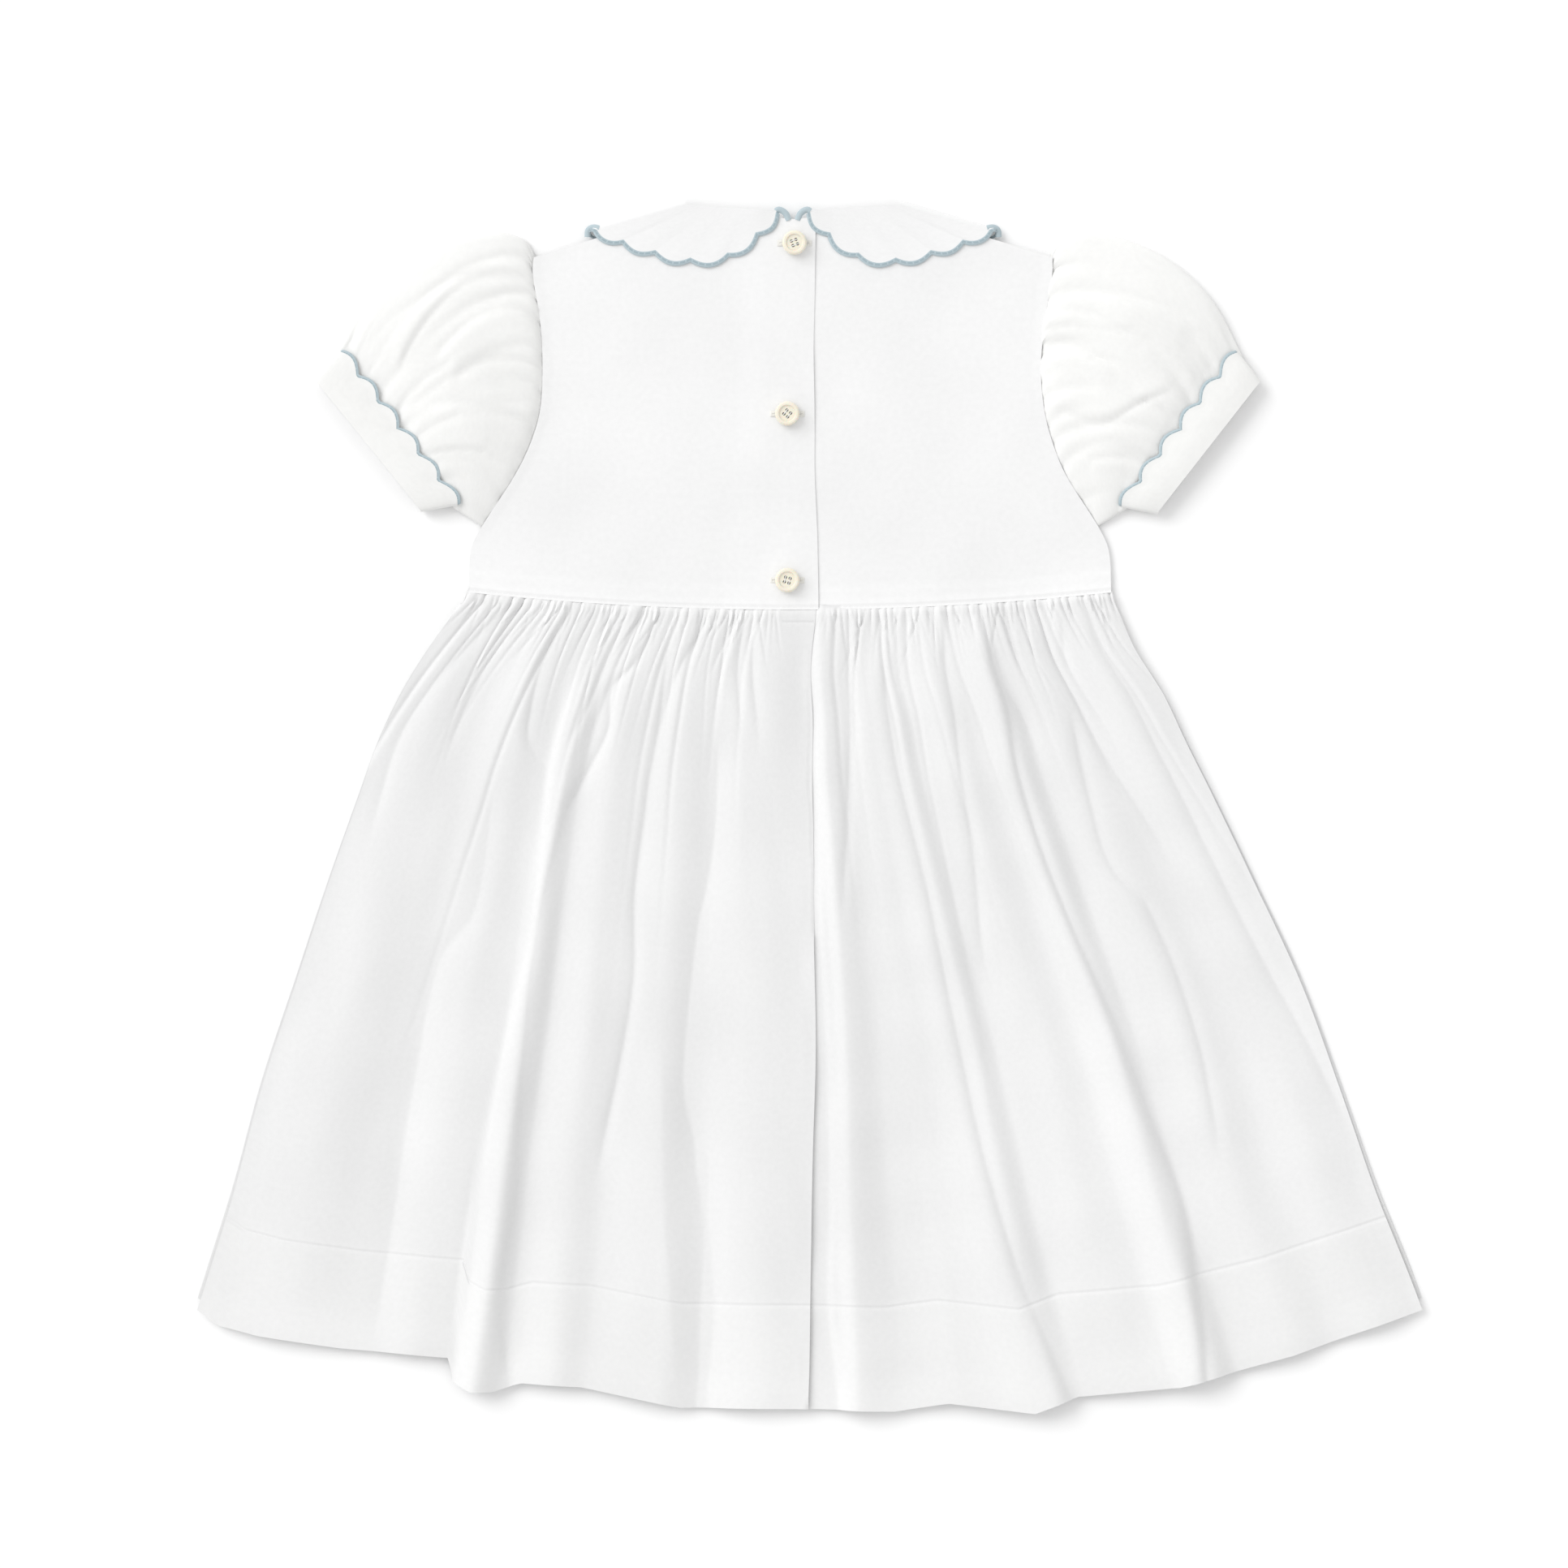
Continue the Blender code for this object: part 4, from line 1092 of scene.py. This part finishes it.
@dataclass
class Sleeve:
    """Puff sleeve: a tube from the armhole into the cuff, gathered at both ends."""

    side: int
    head_gathers: Sequence[Gathers]
    cuff_gathers: Sequence[Gathers]
    puff: tuple[tuple[float, float], ...] = ((0.0, 0.0), (0.018, 0.15), (0.04, 1.1), (0.08, 2.6), (0.14, 4.1),
                                             (0.24, 5.8), (0.38, 7.3), (0.52, 7.9), (0.70, 7.4), (0.84, 6.0),
                                             (0.92, 4.4), (1.0, 3.2))
    full_length: float = 58.0
    columns: int = 200
    rows: int = 90

    @property
    def suffix(self) -> str:
        """Side of the dress in the piece names."""
        return ("left", "right")[self.side]

    def _armhole(self, share: Array) -> tuple[Array, Array]:
        """Point on the armhole seam, from the shoulder to the underarm."""
        y = mix(SHOULDER_Y - CLOTH, UNDERARM_Y, share)
        return smooth(BODICE_SIDES, y, 1 + self.side) - (-1.0, 1.0)[self.side] * 1.2, y

    def _cuff(self, share: Array) -> tuple[Array, Array]:
        """Point on the line where the sleeve ends inside the cuff."""
        seam, end = on_line(CUFF_SEAM[self.side], share), on_line(CUFF_END[self.side], share)
        inside = 0.85
        return mix(end[0], seam[0], inside), mix(end[1], seam[1], inside)

    def _head(self, share: Array) -> tuple[Array, Array]:
        """Point on the sleeve's upper outline."""
        rows = [(row[0], *row[1 + 2 * self.side:3 + 2 * self.side]) for row in SLEEVE_HEAD]
        first, last = self._armhole(0.0), self._cuff(0.0)
        rows = [(0.0, float(first[0]), float(first[1])), *rows, (1.0, float(last[0]), float(last[1]))]
        return smooth(rows, share, 1), smooth(rows, share, 2)

    def plan(self, along: Array, under: Array) -> tuple[Array, Array]:
        """Plan point: along from armhole to cuff, under from the head to the under edge."""
        ends = self._armhole(under), self._cuff(under)
        edges = self._head(along), [mix(a, b, along) for a, b in zip(self._armhole(1.0), self._cuff(1.0))]
        tops = self._armhole(0.0), self._cuff(0.0)
        lows = self._armhole(1.0), self._cuff(1.0)
        return tuple(mix(ends[0][k], ends[1][k], along) + mix(edges[0][k], edges[1][k], under)
                     - mix(mix(tops[0][k], tops[1][k], along), mix(lows[0][k], lows[1][k], along), under)
                     for k in (0, 1))

    def build(self, finishes: Finishes) -> bpy.types.Object:
        """Make the sleeve."""
        grid = ClothGrid("puff_sleeve_" + self.suffix, self.columns, self.rows, closed=True)
        turn, along = grid.shares()
        angle = 2.0 * math.pi * turn
        under = 0.5 - 0.5 * np.cos(angle)
        x, y = self.plan(along, mix(0.006, 0.994, under))
        ends = np.stack(self._armhole(under)) - np.stack(self._cuff(under))
        room = np.clip(np.hypot(*ends) / self.full_length, 0.1, 1.0) ** 0.6
        hollow = smooth(self.puff, along)
        hollow = mix(hollow * room, hollow, ease(0.7, 1.0, along))
        middle = 0.75 + 0.34 * np.minimum(hollow, 5.0)
        arc = np.abs(np.sin(angle))
        foot = chest_lift(self._armhole(under)[1]) + LAYER - 0.75
        upper = mix(middle, mix(foot, CLOTH, ease(0.0, 0.3, along)) + hollow, arc**0.6)
        lower = mix(middle, 0.6, arc**0.3)
        tucks = sum(tuck.height(under, along, 125.0) for tuck in self.head_gathers)
        tucks = tucks + sum(tuck.height(under, 1.0 - along, 85.0) for tuck in self.cuff_gathers)
        for crease in SLEEVE_CREASES[self.side]:
            tucks = tucks + crease.height(under, along, np.asarray(125.0))
        tucks = tucks * ease(0.0, 0.3, arc) * ease(0.016, 0.045, along) * ease(0.0, 0.1, 1.0 - along) * room
        z = np.where(angle < math.pi, np.maximum(upper + tucks, lower + 0.1 * arc), lower)
        grid.marks["stitch_across"] = along * 70.0 - 1.0
        grid.marks["stitch_along"] = under * 125.0
        piece = grid.build((x, y, z), (under * 125.0 + 300.0 * (angle > math.pi), along * 75.0), finishes.sleeve,
                           outward=from_middle, even=False)
        dress_piece(piece, "sleeve_" + self.suffix)
        return piece


@dataclass
class Cuff:
    """Turned-back cuff with a scalloped edge, and the piping round that edge."""

    side: int
    ribs: int = 14
    edge_wall: float = 0.5

    @property
    def suffix(self) -> str:
        """Side of the dress in the piece names."""
        return ("left", "right")[self.side]

    def _section(self, turn: Array, reach: Callable[[Array, Array], Array]) -> tuple[Array, Array, Array]:
        """Plan point and height of the ring at a turn, at a reach from the open end.

        Args:
            turn: Share of the way round.
            reach: Distance from the open end, from the cuff's width and the scallop.

        Returns:
            x, y and z of the hollow's face.
        """
        angle = 2.0 * math.pi * turn
        share = mix(0.02, 0.98, 0.5 - 0.5 * np.cos(angle))
        end, seam = on_line(CUFF_END[self.side], share), on_line(CUFF_SEAM[self.side], share)
        width = np.hypot(seam[0] - end[0], seam[1] - end[1])
        scallop = CUFF_LOBE * np.abs(np.sin(math.pi * CUFF_SCALLOPS * share))
        part = reach(width, scallop) / width
        bulge = np.sign(np.sin(angle)) * np.abs(np.sin(angle)) ** 0.5
        z = CUFF_CLOTH + 0.5 * CUFF_HOLLOW * (1.0 + bulge)
        return mix(end[0], seam[0], part), mix(end[1], seam[1], part), z

    def build(self, finishes: Finishes) -> None:
        """Make the cuff and its piping."""
        around = 2 * CUFF_SCALLOPS * self.ribs
        grid = ClothGrid("turned_cuff_" + self.suffix, around, 14, wall=DOUBLE_SHELL, closed=True)
        turn, along = grid.shares()
        x, y, z = self._section(turn, lambda width, scallop: along * (width + scallop - EDGING_WIDTH * 0.6))
        crown = 0.5 * np.sin(math.pi * np.clip(along * 1.15, 0.0, 1.0)) * np.sign(0.5 - turn)
        grid.marks["doubled"] = np.full_like(x, 0.8)
        cuff = grid.build((x, y, z + crown), (turn * 180.0, along * 17.0), finishes.sleeve, outward=from_middle,
                          even=False)
        dress_piece(cuff, "cuff_" + self.suffix)
        strip = ClothGrid("cuff_piping_" + self.suffix, around, 6, wall=self.edge_wall, closed=True)
        turn, along = strip.shares()
        x, y, z = self._section(turn, lambda width, scallop: width + scallop - EDGING_WIDTH * (1.0 - along))
        round_top = 0.35 * np.sqrt(np.clip(1.0 - (2.0 * along - 1.0) ** 2, 0.0, 1.0)) * np.sign(0.5 - turn)
        # Stitch row down the piping's middle; its darker colour is painted shade of the sewn groove.
        strip.marks["stitch_across"] = (along - 0.5) * EDGING_WIDTH
        strip.marks["stitch_along"] = turn * 190.0
        piping = strip.build((x, y, z + round_top), (turn * 190.0, along * 3.0), finishes.edging,
                             outward=from_middle, even=False)
        dress_piece(piping, "cuff_edging_" + self.suffix)


# ---------------------------------------------------------------- the collar

COLLAR_LOBE = 2.6
COLLAR_LEVEL = 3.75
COLLAR_ROLL = (
    # where the collar turns over the neckline: distance from the centre line, y
    (7.3, 257.3),
    (26.9, 258.7),
    (46.3, 260.1),
)
NECK_ARC = (
    # piping of the collar's end: distance from the centre line, y
    (7.4, 257.0),
    (6.4, 257.7),
    (5.1, 257.5),
    (3.8, 256.7),
    (2.8, 255.5),
    (1.9, 253.2),
)
COLLAR_CLEARANCE = 3.0
COLLAR_BACK_EDGE = (
    # scallops from the back end, distance from the centre line, y
    (0, 7.4, 257.0),
    (1, 16.2, 248.0),
    (2, 28.4, 239.4),
    (3, 44.2, 237.3),
    (4, 59.2, 240.5),
    (5, 72.9, 245.0),
    (6, 84.2, 249.0),
)
COLLAR_SHOULDER = (83.6, 246.0)
COLLAR_OVER = 3.1         # the rolled collar stands this far past the shoulder line
SHOULDER_ARC = (
    # piping where the collar turns to the front: distance from the centre line, y
    (83.4, 249.6),
    (85.4, 250.1),
    (87.2, 249.8),
    (88.3, 248.6),
    (88.5, 246.2),
)
COLLAR_FRONT_SCALLOPS = 10
COLLAR_FRONT_REACH = 84.0
COLLAR_FRONT_END = 66.0
SHOULDER_ANGLE = math.radians(187.5)
FRONT_END_ANGLE = math.radians(263.2)
FRONT_NECK_END = math.radians(84.5)


@dataclass
class Collar:
    """Collar half from its back end round the shoulder to its front end, with piped scallops."""

    side: int
    ribs: int = 12
    wrap_ribs: int = 14
    rows: int = 26

    @property
    def suffix(self) -> str:
        """Side of the dress in the piece names."""
        return ("left", "right")[self.side]

    def _level(self, distance: Array) -> Array:
        """Underside of the collar on the back."""
        across = 0.5 - 0.5 * (distance - COLLAR_CLEARANCE) / SHOULDER_HALF
        climb = THIN_CLIMB * ease(*PLACKET_LAP, across) if self.side == 0 else np.zeros_like(across)
        return COLLAR_LEVEL + climb

    def _lines(self) -> tuple[Array, Array, Array, Array]:
        """Neck points, edge points, scallop reaches and outward directions along the collar."""
        scallops = COLLAR_BACK_EDGE[-1][0]
        at = np.linspace(0.0, scallops, scallops * self.ribs + 1)
        neck_x = mix(COLLAR_ROLL[0][0], NECK_HALF, at / scallops)
        edge_x = smooth(COLLAR_BACK_EDGE, at, 1)
        back_neck = np.stack((neck_x, smooth(COLLAR_ROLL, neck_x), self._level(neck_x)), axis=1)
        back_edge = np.stack((edge_x, smooth(COLLAR_BACK_EDGE, at, 2), self._level(edge_x)), axis=1)
        neck, edge = np.array((NECK_HALF, NECK_Y)), np.array(COLLAR_SHOULDER)
        along = (edge - neck) / np.hypot(*(edge - neck))
        over = np.array((-along[1], along[0]))
        radius = 0.5 * (COLLAR_LEVEL - CLOTH)
        angle = np.linspace(0.0, math.pi, self.wrap_ribs + 1)[1:-1]
        out = GAP + radius * np.sin(angle)
        height = CLOTH + radius * (1.0 + np.cos(angle))
        roll = out + COLLAR_OVER * 0.5 * (1.0 + np.cos(angle))
        wrap_neck = np.stack((neck[0] + over[0] * out, neck[1] + over[1] * roll, height), axis=1)
        wrap_edge = np.stack((edge[0] + over[0] * roll, edge[1] + over[1] * roll, height), axis=1)
        share = np.linspace(0.0, 1.0, COLLAR_FRONT_SCALLOPS * self.ribs + 1)
        turn = FRONT_NECK_END * share
        lean = mix(SHOULDER_ANGLE, FRONT_END_ANGLE, share)
        reach = mix(COLLAR_FRONT_END, COLLAR_FRONT_REACH, np.sqrt(1.0 - share**6))
        low = np.full_like(share, CLOTH)
        front_neck = np.stack((NECK_HALF * np.cos(turn), NECK_Y - FRONT_NECK_DEPTH * np.sin(turn), low), axis=1)
        front_edge = np.stack((-reach * np.cos(lean), NECK_Y + reach * np.sin(lean), low), axis=1)
        necks = np.concatenate((back_neck, wrap_neck, front_neck))
        edges = np.concatenate((back_edge, wrap_edge, front_edge))
        reaches = np.concatenate((np.abs(np.sin(math.pi * at)), np.sin(angle),
                                  np.abs(np.sin(math.pi * COLLAR_FRONT_SCALLOPS * share))))
        first = self._square(back_edge)
        blend = ease(float(len(at) - 1 - self.ribs), float(len(at) - 1), np.arange(len(at)))[:, None]
        first = first * (1.0 - blend) + along * blend
        middle = np.tile(along, (len(angle), 1))
        last = -self._square(front_edge)
        normals = np.concatenate((first, middle, last))
        return necks, edges, reaches, normals / np.linalg.norm(normals, axis=1)[:, None]

    @staticmethod
    def _square(points: Array) -> Array:
        """Directions square to a plan line, away from the neck."""
        steps = np.gradient(points[:, :2], axis=0)
        return np.stack((steps[:, 1], -steps[:, 0]), axis=1) / np.hypot(steps[:, 0], steps[:, 1])[:, None]

    def build(self, finishes: Finishes) -> None:
        """Make the collar half and its piping."""
        necks, edges, reaches, normals = self._lines()
        mirror = (-1.0, 1.0)[self.side]
        last = len(edges) - 1

        def rim(index: Array, beyond: Array) -> Array:
            reach = (COLLAR_LOBE * reaches[index] + beyond)[:, None]
            plan = edges[index, :2] + normals[index] * reach
            return np.concatenate((plan, edges[index, 2:]), axis=1)

        def on_side(points: Array) -> Placed:
            return CENTRE_X + mirror * points[:, 0], points[:, 1], points[:, 2]

        def outward(middles: Array, face_normals: Array) -> Array:
            wanted = np.zeros_like(middles)
            wanted[:, 2] = np.where(middles[:, 2] > 2.0 * LAYER * MM, 1.0, -1.0)
            return wanted

        grid = ClothGrid("collar_half_" + self.suffix, last, self.rows, wall=DOUBLE_SHELL)
        along, out = grid.shares()
        index = np.rint(along * last).astype(int)
        outer = rim(index, np.full(len(index), 0.4))
        points = mix(necks[index], outer, out[:, None])
        x, y, z = on_side(points)
        grid.marks["doubled"] = np.ones_like(x)
        collar = grid.build((x, y, z), (along * 230.0, out * 40.0), finishes.cotton, outward=outward, even=False)
        dress_piece(collar, "collar_" + self.suffix)
        strip = ClothGrid("collar_piping_" + self.suffix, last, 6, wall=0.6)
        along, out = strip.shares()
        index = np.rint(along * last).astype(int)
        points = rim(index, EDGING_WIDTH * out)
        x, y, z = on_side(points)
        upper = np.clip((z - 0.5 * (COLLAR_LEVEL + CLOTH)) / 1.2, -1.0, 1.0)
        z = z + upper * np.where(upper > 0.0, 0.45, 0.2) * np.sqrt(np.clip(1.0 - (2.0 * out - 1.0) ** 2, 0.0, 1.0))
        # Stitch row down the piping's middle; its darker colour is painted shade of the sewn groove.
        strip.marks["stitch_across"] = (out - 0.55) * EDGING_WIDTH
        strip.marks["stitch_along"] = along * 250.0
        piping = strip.build((x, y, z), (along * 250.0, out * 3.0), finishes.edging, outward=outward, even=False)
        dress_piece(piping, "collar_edging_" + self.suffix)
        self._arc("neck_piping_" + self.suffix, NECK_ARC, COLLAR_LEVEL - 0.1, COLLAR_LEVEL - 0.1, finishes)
        self._arc("shoulder_piping_" + self.suffix, SHOULDER_ARC, COLLAR_LEVEL - 0.1, LAYER + 0.2, finishes)

    def _arc(self, name: str, path: Rows, first: float, last: float, finishes: Finishes) -> None:
        """Short arc of piping.

        Args:
            name: Name of the piece.
            path: Its points, as distance from the centre line and y.
            first: Height of its underside where it starts.
            last: Height of its underside where it ends.
            finishes: The dress's finishes.
        """
        strip = ClothGrid(name, 30, 6, wall=0.8)
        along, out = strip.shares()
        keys = np.linspace(0.0, 1.0, len(path))
        rows = [(key, *point) for key, point in zip(keys, path)]
        middle = np.stack((smooth(rows, along, 1), smooth(rows, along, 2)), axis=1)
        ahead = np.stack((smooth(rows, np.minimum(along + 0.01, 1.0), 1) - smooth(rows, along - 0.01, 1),
                          smooth(rows, np.minimum(along + 0.01, 1.0), 2) - smooth(rows, along - 0.01, 2)), axis=1)
        ahead /= np.linalg.norm(ahead, axis=1)[:, None]
        offset = (out - 0.5) * EDGING_WIDTH * 0.85
        distance, y = middle[:, 0] - ahead[:, 1] * offset, middle[:, 1] + ahead[:, 0] * offset
        z = mix(first, last, along) + 0.4 * np.sqrt(np.clip(1.0 - (2.0 * out - 1.0) ** 2, 0.0, 1.0))
        x = CENTRE_X + (-1.0, 1.0)[self.side] * distance
        arc = strip.build((x, y, z), (along * 10.0, out * 3.0), finishes.edging, even=False)
        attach(arc, BODY)


# ---------------------------------------------------------------- buttons and buttonholes

@dataclass
class Buttonhole:
    """Worked slit under a button: two close rows of satin stitch with a bar at each end."""

    node: str
    x: float
    y: float
    half_length: float = 7.4
    half_width: float = 1.25
    stitch: float = 0.55

    def build(self, finishes: Finishes) -> bpy.types.Object:
        """Make the stitched edge of the buttonhole."""
        grid = ClothGrid("buttonhole_" + self.node.removeprefix("button_"), 84, 12, wall=0.15)
        along, out = grid.shares()
        x = self.x + (2.0 * along - 1.0) * self.half_length
        y = self.y + (2.0 * out - 1.0) * self.half_width
        to_end = self.half_length - np.abs(x - self.x)
        row = np.sin(np.pi * np.clip(np.abs(2.0 * out - 1.0), 0.0, 1.0)) * ease(0.6, 1.2, to_end)
        bar = np.sin(np.pi * np.clip(to_end / 1.2, 0.0, 1.0)) * np.sin(np.pi * out) ** 0.5
        satin = 0.85 + 0.15 * np.sin(2.0 * math.pi * x / self.stitch)
        level = chest_lift(y) + LAYER + THIN_CLIMB + button_swell(x, y) + SHELL
        z = level - 0.12 + 0.42 * np.maximum(row, bar) * satin
        piece = grid.build((x, y, z), (x, y), finishes.thread)
        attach(piece, BODY)
        return piece


@dataclass
class Button:
    """One button: its solid with the ivory finish, and the thread through its four holes."""

    node: str
    x: float
    y: float
    turn: float
    hole_spread: float = 1.45
    thread_radius: float = 0.2
    dish_height: float = 1.6

    def build(self, finishes: Finishes) -> bpy.types.Object:
        """Finish the solid and sew it on."""
        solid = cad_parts[self.node]
        solid.data.materials.clear()
        solid.data.materials.append(finishes.button)
        low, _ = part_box(self.node)
        top = low.z + self.dish_height * MM
        strands = []
        for side in (-1.0, 1.0):
            bpy.ops.object.select_all(action="DESELECT")
            bpy.ops.mesh.primitive_cylinder_add(vertices=10, radius=self.thread_radius * MM,
                                                depth=2.4 * self.hole_spread * MM, end_fill_type="TRIFAN")
            strand = bpy.context.active_object
            bpy.ops.object.mode_set(mode="EDIT")
            bpy.ops.mesh.select_all(action="SELECT")
            bpy.ops.mesh.subdivide(number_cuts=6)
            bpy.ops.object.mode_set(mode="OBJECT")
            half = 1.2 * self.hole_spread * MM
            heading = math.radians(self.turn)
            offset = side * self.hole_spread * math.sqrt(0.5) * MM
            for vert in strand.data.vertices:
                along, across, up = vert.co.z, vert.co.x + offset, vert.co.y
                arch = 0.4 * MM * (1.0 - (along / half) ** 2) - 0.3 * MM
                vert.co.x = self.x * MM + along * math.cos(heading) - across * math.sin(heading)
                vert.co.y = self.y * MM + along * math.sin(heading) + across * math.cos(heading)
                vert.co.z = top + up + arch
            strands.append(strand)
        bpy.ops.object.select_all(action="DESELECT")
        for strand in strands:
            strand.select_set(True)
        bpy.context.view_layer.objects.active = strands[0]
        bpy.ops.object.join()
        thread = bpy.context.active_object
        thread.name = thread.data.name = "thread_" + self.node
        thread.data.materials.append(finishes.thread)
        bpy.ops.object.mode_set(mode="EDIT")
        bpy.ops.mesh.select_all(action="SELECT")
        bpy.ops.mesh.normals_make_consistent(inside=False)
        bpy.ops.object.mode_set(mode="OBJECT")
        bpy.ops.object.shade_smooth()
        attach(thread, BODY)
        LOG.info("%s sewn on", self.node)
        return thread


# ---------------------------------------------------------------- studio

@dataclass
class Studio:
    """Pale floor, soft light and the camera straight above."""

    centre: tuple[float, float] = (-0.0110, 0.0105)
    shown_width: float = 0.6762
    height: float = 2.4
    floor_half: float = 6.0

    def build(self) -> None:
        """Make the floor, the lights and the camera."""
        self._floor()
        self._key(1.6, 35.0, 144.0, 40.0)
        self._world(0.86)
        self._camera()

    def _floor(self) -> None:
        """White seamless floor."""
        bpy.ops.object.select_all(action="DESELECT")
        bpy.ops.mesh.primitive_plane_add(size=2.0 * self.floor_half)
        floor = bpy.context.active_object
        floor.name = "studio_floor"
        material = bpy.data.materials.new("seamless_paper")
        material.use_nodes = True
        shader = material.node_tree.nodes["Principled BSDF"]
        shader.inputs["Base Color"].default_value = (0.93, 0.93, 0.93, 1.0)
        shader.inputs["Roughness"].default_value = 0.9
        floor.data.materials.append(material)

    def _key(self, strength: float, elevation: float, azimuth: float, softness: float) -> None:
        """Broad light from the upper left.

        Args:
            strength: Power of the light.
            elevation: Degrees above the floor.
            azimuth: Degrees anticlockwise from +X, where the light stands.
            softness: Angle that the light spans, in degrees.
        """
        light = bpy.data.lights.new("key_window", "SUN")
        light.energy = strength
        light.angle = math.radians(softness)
        holder = bpy.data.objects.new("key_window", light)
        bpy.context.scene.collection.objects.link(holder)
        holder.rotation_euler = (0.0, math.radians(90.0 - elevation), math.radians(azimuth))

    def _world(self, strength: float) -> None:
        """Even white surroundings."""
        world = bpy.data.worlds.new("studio_air")
        world.use_nodes = True
        background = world.node_tree.nodes["Background"]
        background.inputs["Color"].default_value = (1.0, 1.0, 1.0, 1.0)
        background.inputs["Strength"].default_value = strength
        bpy.context.scene.world = world
        bpy.context.scene.view_settings.view_transform = "Standard"

    def _camera(self) -> None:
        """Camera that looks straight down."""
        data = bpy.data.cameras.new("overhead")
        data.sensor_width = 36.0
        data.lens = data.sensor_width * self.height / self.shown_width
        camera = bpy.data.objects.new("overhead", data)
        camera.location = (*self.centre, self.height)
        bpy.context.scene.collection.objects.link(camera)
        bpy.context.scene.camera = camera


def main() -> None:
    """Build the dress and its studio."""
    logging.basicConfig(level=logging.INFO, format="%(name)s: %(message)s")
    finishes = Finishes()
    SkirtFront().build(finishes)
    SkirtBack("back_skirt_right", RIGHT_FOLDS, RIGHT_CREASES, ((0.0, 0.460), (1.0, 0.460)), ((0.0, 1.0), (1.0, 1.0)),
              False, waist_gathers(21, (0.44, 0.546)), Ripple(0.26, 46.0, 3)).build(finishes)
    SkirtBack("back_skirt_left", LEFT_FOLDS, LEFT_CREASES, ((0.0, 0.0), (1.0, 0.0)),
              ((0.0, 0.541), (0.15, 0.540), (0.405, 0.5238), (0.717, 0.510), (1.0, 0.4985)), True,
              waist_gathers(11, (0.478, 0.56)), Ripple(0.26, 46.0, 8)).build(finishes)
    Bodice().build(finishes)
    for side in (0, 1):
        head = (Gathers(52, 0.9, 1.3, 0.45, 0.13, 40 + side, wander=0.15),
                Gathers(13, 2.2, 5.5, 1.7, 0.75, 42 + side, spread=-0.25, wander=0.14))
        cuff = (Gathers(34, 0.9, 1.3, 0.5, 0.16, 50 + side, wander=0.15),
                Gathers(10, 1.9, 4.5, 1.5, 0.6, 52 + side, spread=0.2, wander=0.14))
        Sleeve(side, head, cuff).build(finishes)
        Cuff(side).build(finishes)
        Collar(side).build(finishes)
    for node, x, y, turn in BUTTONS:
        Buttonhole(node, x, y).build(finishes)
        Button(node, x, y, turn).build(finishes)
    Studio().build()


if __name__ == "__main__":
    main()
